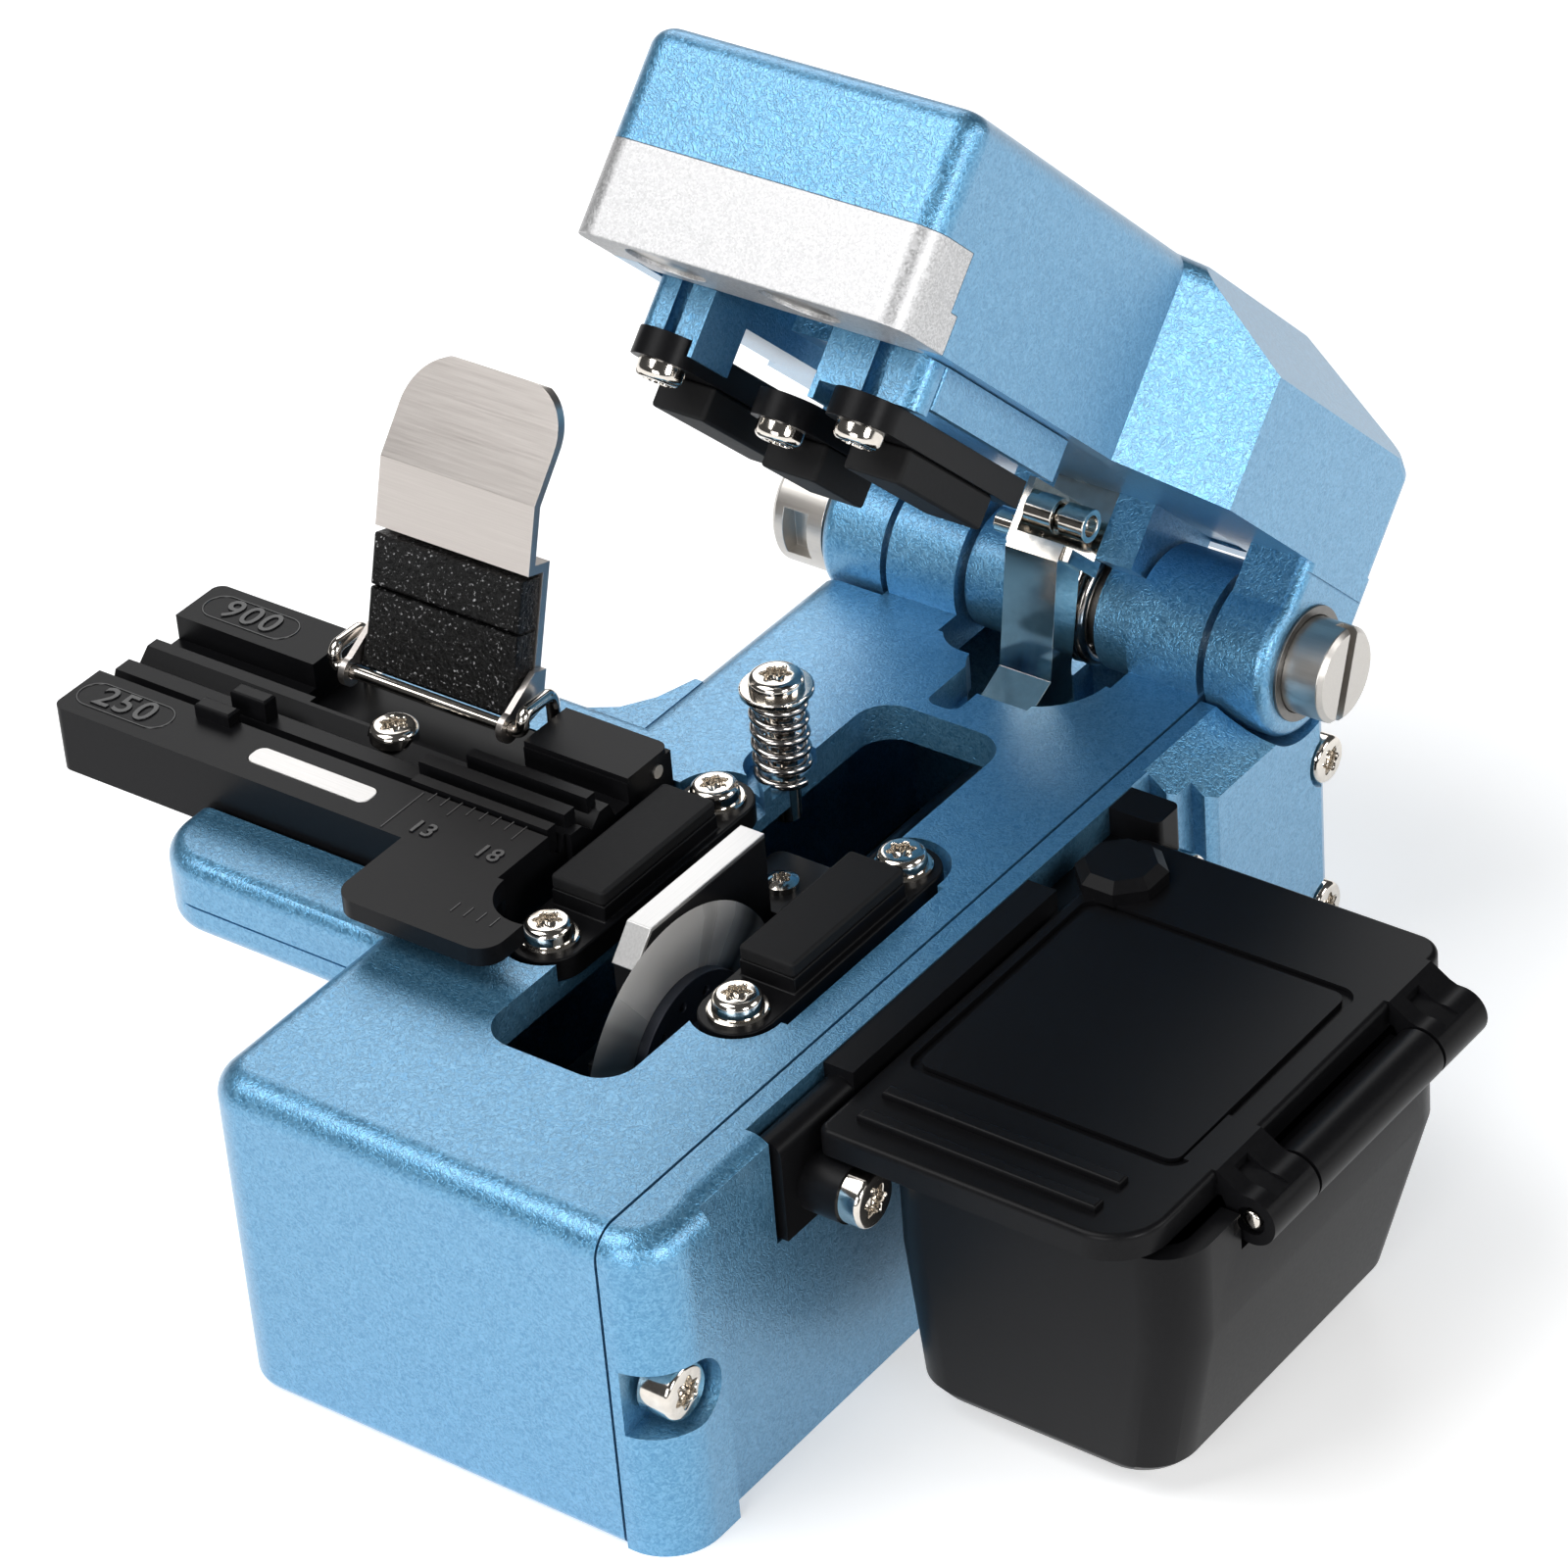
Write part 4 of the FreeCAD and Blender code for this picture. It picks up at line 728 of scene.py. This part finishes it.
@dataclass
class LobedScrew:
    """Pan-head screw with a six-lobed recess, standing on its seat along +Z.

    Attributes:
        radius: Head radius in millimetres.
        height: Head height in millimetres.
        flange: Radius of a washer under the head; 0 for none.
        rounding: Width of the rounded rim as a share of the radius.
        crown: Height of the rounded rim as a share of the head's height.
    """

    radius: float
    height: float
    flange: float = 0.0
    rounding: float = 0.30
    crown: float = 0.50

    STEPS = 72
    CREASE = 42.0
    LOBES = 6
    LOBE_MEAN, LOBE_SWING = 0.50, 0.085
    RIM_TURNS = (0.0, 18.0, 36.0, 54.0, 72.0, 86.0)
    # Rings of the recess: share of the lobed radius, and depth in head radii.
    RECESS = ((1.06, 0.0), (1.0, 0.05), (0.97, 0.42), (0.55, 0.52))
    TIP_DEPTH = 0.56
    # Washer: height of its wall and of its top, width of its broken edge, and gap round the head, in millimetres.
    WASHER_WALL, WASHER_TOP, WASHER_EDGE, WASHER_GAP = 0.2, 0.28, 0.1, 0.06

    def _lobe(self, angle: float) -> float:
        """Gives the recess radius at an angle."""
        return self.radius * (self.LOBE_MEAN + self.LOBE_SWING * math.cos(self.LOBES * angle))

    def _rings(self) -> List[Tuple[float, float, bool]]:
        """Lists the rings of the head from its seat to the bottom of its recess.

        Returns:
            Radius and height of each ring in millimetres; where the last value is true, the first is a share of the
            lobed radius.
        """
        r, h = self.radius, self.height
        base = 0.0
        rings: List[Tuple[float, float, bool]] = []
        if self.flange > 0:
            base = self.WASHER_TOP
            rings += [(self.flange, 0.0, False), (self.flange, self.WASHER_WALL, False),
                      (self.flange - self.WASHER_EDGE, base, False), (r + self.WASHER_GAP, base, False)]
        else:
            rings.append((r, 0.0, False))
        for turn in self.RIM_TURNS:
            share = 1.0 - self.rounding * (1.0 - math.cos(math.radians(turn)))
            lift = 1.0 - self.crown * (1.0 - math.sin(math.radians(turn)))
            rings.append((r * share, base + (h - base) * lift, False))
        return rings + [(share, h - depth * r, True) for share, depth in self.RECESS]

    def mesh(self) -> Mesh:
        """Builds the head.

        Returns:
            A closed mesh.
        """
        work = bmesh.new()
        loops = []
        for width, up, lobed in self._rings():
            loop = []
            for k in range(self.STEPS):
                angle = 2 * math.pi * k / self.STEPS
                out = self._lobe(angle) * width if lobed else width
                loop.append(work.verts.new((out * MM * math.cos(angle), out * MM * math.sin(angle), up * MM)))
            loops.append(loop)
        stitch(work, loops)
        work.faces.new(list(reversed(loops[0])))
        tip = work.verts.new((0, 0, (self.height - self.TIP_DEPTH * self.radius) * MM))
        for k in range(self.STEPS):
            work.faces.new((loops[-1][k], loops[-1][(k + 1) % self.STEPS], tip))
        return plain_mesh(work, "lobed_head", self.CREASE, turn_out=False)

    def stand(self, name: str, spots: Sequence[Triple], aim: Triple, body: str, seed: int,
              place: Optional[Matrix] = None) -> Object:
        """Stands heads on their seats.

        Args:
            name: Piece name.
            spots: Seats in millimetres.
            aim: Turn of every head in radians.
            body: Body that they ride on.
            seed: Seed of their random spin.
            place: Extra placing of the whole set.

        Returns:
            The new piece.
        """
        sample = linked(name + "_sample", self.mesh())
        mesh = Kit.run(Kit.scatter(), points_mesh(name + "_seats", spots), {
            "Piece": sample, "Aim": aim, "Spin": 1.0, "Seed": seed, "Finish": BRIGHT.material()})
        bpy.data.objects.remove(sample)
        if place is not None:
            mesh.transform(place)
        return add(name, mesh, BRIGHT, body)


UP: Triple = (0.0, 0.0, 0.0)
RIGHT: Triple = (0.0, math.pi / 2, 0.0)
DOWN: Triple = (math.pi, 0.0, 0.0)


def wound(name: str, finish: Finish, body: str, turns: float, radius: float, height: float, wire: float,
          place: Matrix) -> Object:
    """Winds a coil spring.

    Args:
        name: Piece name.
        finish: Its finish.
        body: Body that it rides on.
        turns: Number of turns.
        radius: Radius to the wire's middle in millimetres.
        height: Length in millimetres.
        wire: Wire radius in millimetres.
        place: Matrix from the coil's own frame, along +Z, to its place.

    Returns:
        The new piece.
    """
    seed = points_mesh(name + "_seed", [(0, 0, 0)])
    mesh = Kit.run(Kit.coil(), seed, {"Turns": turns, "Radius": radius * MM, "Height": height * MM, "Wire": wire * MM,
                                      "Finish": finish.material()})
    mesh.transform(place)
    return add(name, mesh, finish, body)


@dataclass
class Hinge:
    """Lid hinge line: its place and the angle that the lid stands open."""

    y: float = 37.5
    z: float = 24.3
    angle: float = 44.0
    inside_rim: float = 3.05
    slot_share: float = 0.12
    spring_x: float = 0.7
    spring_turns: float = 3.0
    spring_radius: float = 3.9
    spring_length: float = 2.85
    spring_wire: float = 0.5

    def opened(self) -> Matrix:
        """Gives the matrix from the shut lid to the open one."""
        centre = Vector((0, self.y * MM, self.z * MM))
        turn = Matrix.Rotation(math.radians(-self.angle), 4, "X")
        return Matrix.Translation(centre) @ turn @ Matrix.Translation(-centre)

    def _rim(self, spot: Vector) -> float:
        """Gives the full chamfer to the shaft's rim and a fine one to its slot."""
        return 1.0 if math.hypot(spot.y - self.y, spot.z - self.z) > self.inside_rim else self.slot_share

    def build(self) -> None:
        """Dresses the shaft and cap, and winds the torsion spring."""
        dressed("hinge_shaft", STEEL, "base", "hinge_shaft_turned", 0.42, share=self._rim)
        dressed("hinge_cap", STEEL, "base", "hinge_cap_turned", 0.12)
        place = (Matrix.Translation((self.spring_x * MM, self.y * MM, self.z * MM))
                 @ Matrix.Rotation(math.pi / 2, 4, "Y"))
        coil = wound("torsion_spring_coils", SPRING_WIRE, "base", self.spring_turns, self.spring_radius,
                     self.spring_length, self.spring_wire, place)
        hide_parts("torsion_spring")


@dataclass
class BaseUnit:
    """Blue housing with its side cover, bottom plate, feet, guide rods and cover screws."""

    edge: float = 0.24
    cover_edge: float = 0.18
    crease: float = 40.0
    pocket_sill: Span = ((13.9, -17.9, 13.2), (15.9, 24.4, 15.3))
    front_screw: Triple = (14.0, -27.2, 11.2)
    rear_screws: List[Triple] = field(default_factory=lambda: [(16.55, 39.6, 15.8), (16.55, 39.0, 4.8)])
    side_recess: Span = ((15.9, -24.4, -1.0), (17.2, 26.4, 24.0))
    seam_gap: Span = ((12.7, -31.0, -1.0), (12.9, 43.5, 24.0))

    def build(self) -> None:
        """Builds every piece of the base."""
        # Housing and cover get a painted highlight on their broken edges.
        dressed("base_housing", BLUE, "base", "housing_casting", self.edge, self.crease, rim=BLUE_EDGE_HIGHLIGHT)
        dressed("side_cover", BLUE, "base", "side_cover_casting", self.cover_edge, self.crease,
                (self.side_recess, self.seam_gap), (self.pocket_sill,), rim=BLUE_EDGE_HIGHLIGHT)
        dressed("bottom_plate", BLACKENED, "base", "bottom_plate_sheet", 0.1)
        dressed("base_feet", RUBBER, "base", "foot_pads", 0.1)
        dressed("guide_rods", STEEL, "base", "guide_rods_ground", 0.0)
        front = LobedScrew(1.85, 2.2, rounding=0.17, crown=0.15).stand(
            "cover_screw_head_front", [self.front_screw], RIGHT, "base", 21)
        rear = LobedScrew(1.6, 1.1, rounding=0.2, crown=0.35).stand(
            "cover_screw_heads_rear", self.rear_screws, RIGHT, "base", 22)
        for heads in (front, rear):
            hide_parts("cover_screws")


@dataclass
class ClampPads:
    """Lower rubber pads in their holders, each on two screws."""

    pad_x: float = 7.05
    screw_y: Tuple[float, float] = (-8.5, 8.2)
    seat_z: float = 22.9

    def build(self) -> None:
        """Builds pads, holders and screws."""
        dressed("lower_pad_holders", PLASTIC, "base", "lower_pad_carriers", 0.15)
        dressed("lower_pads", RUBBER, "base", "lower_pad_rubbers", 0.2)
        spots = [(side * self.pad_x, y, self.seat_z) for side in (-1, 1) for y in self.screw_y]
        heads = LobedScrew(1.55, 1.3, flange=1.9).stand("lower_pad_screw_heads", spots, UP, "base", 5)
        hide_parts("lower_pad_screws")


@dataclass
class FibreHolder:
    """Black three-way holder with its inlay, screw, pin and raised working marks."""

    top: float = 26.0
    screw: Triple = (-26.7, 1.3, 24.9)
    words: List[Tuple[str, float, float, float]] = field(default_factory=lambda: [
        ("250", -42.6, -5.85, 2.8), ("900", -42.3, 6.0, 2.8), ("13", -17.7, -6.9, 1.75), ("18", -12.6, -6.9, 1.75)])
    rings: List[Tuple[float, float]] = field(default_factory=lambda: [(-42.6, -5.85), (-42.3, 6.0)])
    ring_half: float = 2.45
    ring_round: float = 1.25
    ring_steps: int = 20
    ring_section: Tuple[Tuple[float, float], ...] = (
        (-0.07, 0.0), (-0.035, 0.055), (0.035, 0.055), (0.07, 0.0), (0.0, -0.05))
    ticks: List[Tuple[str, List[Tuple[float, float]], float]] = field(default_factory=lambda: [
        ("ruler_long_ticks", [(-17.35, -4.2), (-12.35, -4.2)], 1.6),
        ("ruler_short_ticks", [(-19.35 + k, -3.9) for k in range(8) if k not in (2, 7)], 1.0),
        ("tab_ticks", [(-10.9 + k, -12.2) for k in range(4)], 1.0),
        ("holder_seam", [(-20.1, -5.9)], 4.2)])
    tick_half_width: float = 0.065
    tick_top: float = 0.05
    tick_foot: float = -0.03
    mark_crease: float = 50.0
    letter_rise: float = 0.03
    letter_depth: float = 0.035
    letter_edge: float = 0.03
    letter_weight: float = 0.02
    letter_spacing: float = 1.12

    def build(self) -> None:
        """Builds the holder."""
        dressed("fibre_holder", PLASTIC, "base", "holder_moulding", 0.12)
        dressed("holder_inlay", INLAY, "base", "holder_inlay_plate", 0.05)
        dressed("holder_pin", STEEL, "base", "holder_pin_end", 0.0)
        head = LobedScrew(1.6, 1.0).stand("holder_screw_head", [self.screw], UP, "base", 8)
        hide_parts("holder_screw")
        for word, x, y, size in self.words:
            self._word(word, x, y, size)
        for number, (x, y) in enumerate(self.rings):
            self._ring("mark_ring_%d" % (number + 1), x, y)
        for name, spots, length in self.ticks:
            self._ruler(name, spots, length)

    def _word(self, word: str, x: float, y: float, size: float) -> None:
        """Raises a number on the holder's top.

        Args:
            word: The number.
            x, y: Its middle in millimetres.
            size: Letter size in millimetres.
        """
        curve = bpy.data.curves.new("word_" + word, "FONT")
        curve.body = word
        curve.size = size * MM
        curve.extrude = self.letter_depth * MM
        curve.bevel_depth = self.letter_edge * MM
        curve.bevel_resolution = 1
        curve.offset = self.letter_weight * MM
        curve.space_character = self.letter_spacing
        curve.align_x = curve.align_y = "CENTER"
        curve.resolution_u = 6
        mesh = settled(linked("word_%s_curve" % word, curve))
        mesh.transform(Matrix.Translation((x * MM, y * MM, (self.top + self.letter_rise) * MM)))
        add("mark_" + word, mesh, MARKING, "base")

    def _ring(self, name: str, x: float, y: float) -> None:
        """Raises a thin line round a number.

        Args:
            name: Piece name.
            x, y: Its middle in millimetres.
        """
        path: List[Tuple[float, float]] = []
        for side, start in ((1, -90), (-1, 90)):
            for k in range(self.ring_steps + 1):
                angle = math.radians(start + 180 * k / self.ring_steps)
                path.append((x + side * self.ring_half + self.ring_round * math.cos(angle),
                             y + self.ring_round * math.sin(angle)))
        work = bmesh.new()
        loops = []
        for k, (px, py) in enumerate(path):
            before, after = path[k - 1], path[(k + 1) % len(path)]
            along = Vector((after[0] - before[0], after[1] - before[1])).normalized()
            across = Vector((along.y, -along.x))
            loops.append([work.verts.new(((px + across.x * o) * MM, (py + across.y * o) * MM, (self.top + h) * MM))
                          for o, h in self.ring_section])
        stitch(work, loops, closed=True)
        add(name, plain_mesh(work, name, self.mark_crease), MARKING, "base")

    def _ruler(self, name: str, spots: Sequence[Tuple[float, float]], length: float) -> None:
        """Stands equal ticks on the holder's top.

        Args:
            name: Piece name.
            spots: Middles in millimetres.
            length: Length of a tick along Y in millimetres.
        """
        half, wide = length / 2, self.tick_half_width
        foot, top = self.tick_foot, self.tick_top
        section = [(-wide, foot), (wide, foot), (wide * 0.5, top), (-wide * 0.5, top)]
        corners = [(x * MM, y * MM, z * MM) for y in (-half, half) for x, z in section]
        faces = [(3, 2, 1, 0), (4, 5, 6, 7)] + [(k, (k + 1) % 4, 4 + (k + 1) % 4, 4 + k) for k in range(4)]
        work = bmesh.new()
        verts = [work.verts.new(corner) for corner in corners]
        for face in faces:
            work.faces.new([verts[k] for k in face])
        sample = linked(name + "_sample", plain_mesh(work, name + "_tick"))
        mesh = Kit.run(Kit.scatter(), points_mesh(name + "_points", [(x, y, self.top) for x, y in spots]), {
            "Piece": sample, "Aim": UP, "Spin": 0.0, "Seed": 1, "Finish": MARKING.material()})
        bpy.data.objects.remove(sample)
        add(name, mesh, MARKING, "base")


@dataclass
class FibreClamp:
    """Spring-steel plate with its foam, swinging on the bent wire."""

    def build(self) -> None:
        """Builds plate, foam and wire."""
        dressed("clamp_plate", SPRING_PLATE, "clamp", "clamp_plate_bent", 0.14, 13.0)
        dressed("clamp_foam", FOAM, "clamp", "clamp_foam_leaves", 0.25)
        dressed("clamp_wire", BRIGHT, "base", "clamp_wire_bent", 0.0)


@dataclass
class BladeCarriage:
    """Blade wheel with its hub on the carriage, beside the guard wall."""

    def build(self) -> None:
        """Builds the carriage, the guard and the wheel."""
        dressed("carriage_block", BLACKENED, "carriage", "carriage_casting", 0.15)
        dressed("guard_wall", BLACKENED, "carriage", "guard_wall_plate", 0.08)
        dressed("guard_rail", MACHINED, "carriage", "guard_rail_bright", 0.06)
        dressed("carriage_screws", BRIGHT, "carriage", "carriage_screw_bodies", 0.03)
        dressed("blade_wheel", BLADE, "blade", "blade_wheel_ground", 0.0)
        dressed("blade_hub", HUB, "blade", "blade_hub_disc", 0.1)
        dressed("hub_screw", BRIGHT, "blade", "hub_screw_head", 0.05)


@dataclass
class SpringPost:
    """Flanged post on its coil spring."""

    x: float = -5.7
    y: float = 13.4
    seat: float = 21.9
    head: float = 28.4
    flange: float = 28.85
    top: float = 29.7
    travel: float = 3.0
    old_head: Span = ((-9.0, 10.0, 28.86), (-2.0, 17.0, 31.0))
    head_radius: float = 1.75
    turns: float = 5.5
    coil_radius: float = 1.6
    wire: float = 0.3

    def build(self) -> None:
        """Builds the post and its coil."""
        dressed("post_screw", BRIGHT, "post", "post_stem", 0.05, cuts=(self.old_head,))
        LobedScrew(self.head_radius, self.top - self.flange).stand(
            "post_head", [(self.x, self.y, self.flange)], UP, "post", 31)
        place = Matrix.Translation((self.x * MM, self.y * MM, (self.seat + self.wire) * MM))
        coil = wound("post_coil", SPRING_WIRE, "post", self.turns, self.coil_radius,
                     self.head - self.seat - 2 * self.wire, self.wire, place)
        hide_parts("post_spring")
        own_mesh(coil)


@dataclass
class Lid:
    """Lid casting, front bar, inner frame, upper clamps and drive arm."""

    clamp_screws: List[Triple] = field(default_factory=lambda: [
        (-7.3, -5.0, 25.0), (7.05, -5.1, 25.0), (0.0, -1.95, 24.05)])

    def build(self, hinge: Hinge) -> None:
        """Builds the lid.

        Args:
            hinge: Hinge that the lid turns on.
        """
        dressed("lid_shell", BLUE, "lid", "lid_casting", 0.25)
        dressed("lid_front_bar", SILVER, "lid", "front_bar_milled", 0.2)
        dressed("bar_magnets", STEEL, "lid", "magnet_discs", 0.1)
        # The inner frame's broken edges get the painted highlight too.
        dressed("lid_frame", BLUE, "lid", "inner_frame_casting", 0.2, rim=BLUE_EDGE_HIGHLIGHT)
        dressed("ear_bush", DARKER_STEEL, "lid", "ear_bush_ring", 0.05)
        dressed("upper_pad_holders", PLASTIC, "lid", "upper_pad_carriers", 0.15)
        dressed("upper_pads", RUBBER, "lid", "upper_pad_rubbers", 0.2)
        dressed("drive_arm", BRIGHT, "lid", "drive_arm_polished", 0.1)
        dressed("roller_pins", BRIGHT, "lid", "roller_pins_turned", 0.1)
        heads = LobedScrew(1.5, 1.1).stand("upper_pad_screw_heads", self.clamp_screws, DOWN, "lid", 11, hinge.opened())
        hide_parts("upper_pad_screws")


@dataclass
class WasteBin:
    """Black bin on its bracket with a hinged lid."""

    bracket_screws: List[Triple] = field(default_factory=lambda: [(19.0, -14.0, 17.9), (17.9, 21.0, 18.3)])
    pin: Triple = (40.8, -5.78, 19.3)
    pin_radius: float = 0.58
    pin_dome: float = 0.2
    dome_rings: int = 6
    dome_steps: int = 24
    dome_turn: float = 80.0
    dome_crease: float = 50.0

    def build(self) -> None:
        """Builds bracket, bin and lid."""
        dressed("bin_bracket", PLASTIC, "base", "bracket_moulding", 0.15)
        dressed("bin_body", PLASTIC, "base", "bin_moulding", 0.15)
        dressed("bin_lid", PLASTIC, "bin_lid", "bin_lid_moulding", 0.12)
        dressed("bin_hinge_pin", BRIGHT, "base", "bin_pin", 0.0)
        self._pin_end()
        heads = LobedScrew(1.8, 1.5, rounding=0.17, crown=0.22).stand(
            "bracket_screw_heads", self.bracket_screws, RIGHT, "base", 23)
        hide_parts("bracket_screws")

    def _pin_end(self) -> None:
        """Rounds off the front end of the hinge pin with a bright dome."""
        x, y, z = self.pin
        turns = [2 * math.pi * m / self.dome_steps for m in range(self.dome_steps)]
        work = bmesh.new()
        loops = []
        for k in range(self.dome_rings):
            angle = math.radians(self.dome_turn * k / (self.dome_rings - 1))
            out, front = self.pin_radius * math.cos(angle), y - self.pin_dome * math.sin(angle)
            loops.append([work.verts.new(((x + out * math.cos(t)) * MM, front * MM, (z + out * math.sin(t)) * MM))
                          for t in turns])
        stitch(work, loops)
        work.faces.new(loops[0])
        work.faces.new(loops[-1])
        add("bin_pin_dome", plain_mesh(work, "pin_dome", self.dome_crease), BRIGHT, "base")


@dataclass
class Studio:
    """Pale floor, soft lights and the camera, in metres.

    Attributes:
        eye: Place of the camera.
        lens: Focal length in millimetres.
        right, down, ahead: Axes of the camera.
        target: Point that every light is aimed at.
        boxes: Name, place, size and power in watts of each light, and whether it shows in reflections alone.
    """

    eye: Triple = (0.19134, -0.23091, 0.23623)
    lens: float = 140.604
    right: Triple = (0.80542306, 0.5886036, -0.06956649)
    down: Triple = (0.28771753, -0.49089338, -0.82233953)
    ahead: Triple = (-0.51818174, 0.64231572, -0.56472843)
    target: Triple = (0.0, 0.0, 0.03)
    floor_reach: float = 3.0
    floor_tone: float = 0.80
    floor_glow: float = 0.52
    sky_glow: float = 0.07
    boxes: List[Tuple[str, Triple, Tuple[float, float], float, bool]] = field(default_factory=lambda: [
        ("key", (-0.29, -0.36, 0.81), (0.6, 0.6), 5.6, False),
        ("front", (0.14, -0.90, 0.33), (0.5, 0.4), 4.4, False),
        ("side", (0.70, 0.34, 0.36), (0.34, 0.34), 2.0, False),
        ("back_left", (-0.48, 0.60, 0.55), (0.6, 0.5), 2.4, False),
        ("side_card", (0.80, -0.27, 0.33), (0.26, 0.26), 3.2, True)])

    def _floor(self) -> None:
        """Lays the floor."""
        mesh = bpy.data.meshes.new("floor")
        corners = [(x * self.floor_reach, y * self.floor_reach, 0) for x, y in ((-1, -1), (1, -1), (1, 1), (-1, 1))]
        mesh.from_pydata(corners, [], [(0, 1, 2, 3)])
        floor = linked("floor", mesh)
        paper = bpy.data.materials.new("floor_paper")
        paper.use_nodes = True
        shader = paper.node_tree.nodes["Principled BSDF"]
        tone = self.floor_tone
        put(shader, {"Base Color": (tone, tone, tone, 1), "Roughness": 0.9, "Specular IOR Level": 0.1,
                     "Emission Color": (1, 1, 1, 1), "Emission Strength": self.floor_glow})
        mesh.materials.append(paper)

    def _light(self, name: str, place: Triple, size: Tuple[float, float], power: float, gloss_only: bool) -> None:
        """Adds a soft box aimed at the cleaver.

        Args:
            name: Light name.
            place: Where it stands, in metres.
            size: Its width and height in metres.
            power: Its power in watts.
            gloss_only: Show it in reflections alone.
        """
        lamp = bpy.data.lights.new(name, "AREA")
        lamp.shape = "RECTANGLE"
        lamp.size, lamp.size_y = size
        lamp.energy = power
        light = linked(name, lamp)
        light.location = place
        light.visible_diffuse = not gloss_only
        light.rotation_euler = (Vector(self.target) - Vector(place)).to_track_quat("-Z", "Y").to_euler()

    def _camera(self) -> None:
        """Sets the camera."""
        data = bpy.data.cameras.new("camera")
        data.sensor_width = 36.0
        data.lens = self.lens
        data.clip_start = 0.01
        camera = linked("camera", data)
        turn = Matrix((self.right, [-c for c in self.down], [-c for c in self.ahead])).transposed().to_4x4()
        camera.matrix_world = Matrix.Translation(self.eye) @ turn
        bpy.context.scene.camera = camera

    def build(self) -> None:
        """Sets up the studio."""
        self._floor()
        for box in self.boxes:
            self._light(*box)
        world = bpy.data.worlds.new("studio")
        bpy.context.scene.world = world
        world.use_nodes = True
        put(world.node_tree.nodes["Background"], {"Color": (1, 1, 1, 1), "Strength": self.sky_glow})
        bpy.context.scene.view_settings.view_transform = "Standard"
        self._camera()


def main() -> None:
    """Builds the cleaver and its studio."""
    logging.basicConfig(level=logging.INFO, format="%(name)s: %(message)s")
    hinge = Hinge()
    BaseUnit().build()
    ClampPads().build()
    FibreHolder().build()
    FibreClamp().build()
    BladeCarriage().build()
    SpringPost().build()
    hinge.build()
    Lid().build(hinge)
    WasteBin().build()
    Studio().build()


if __name__ == "__main__":
    main()
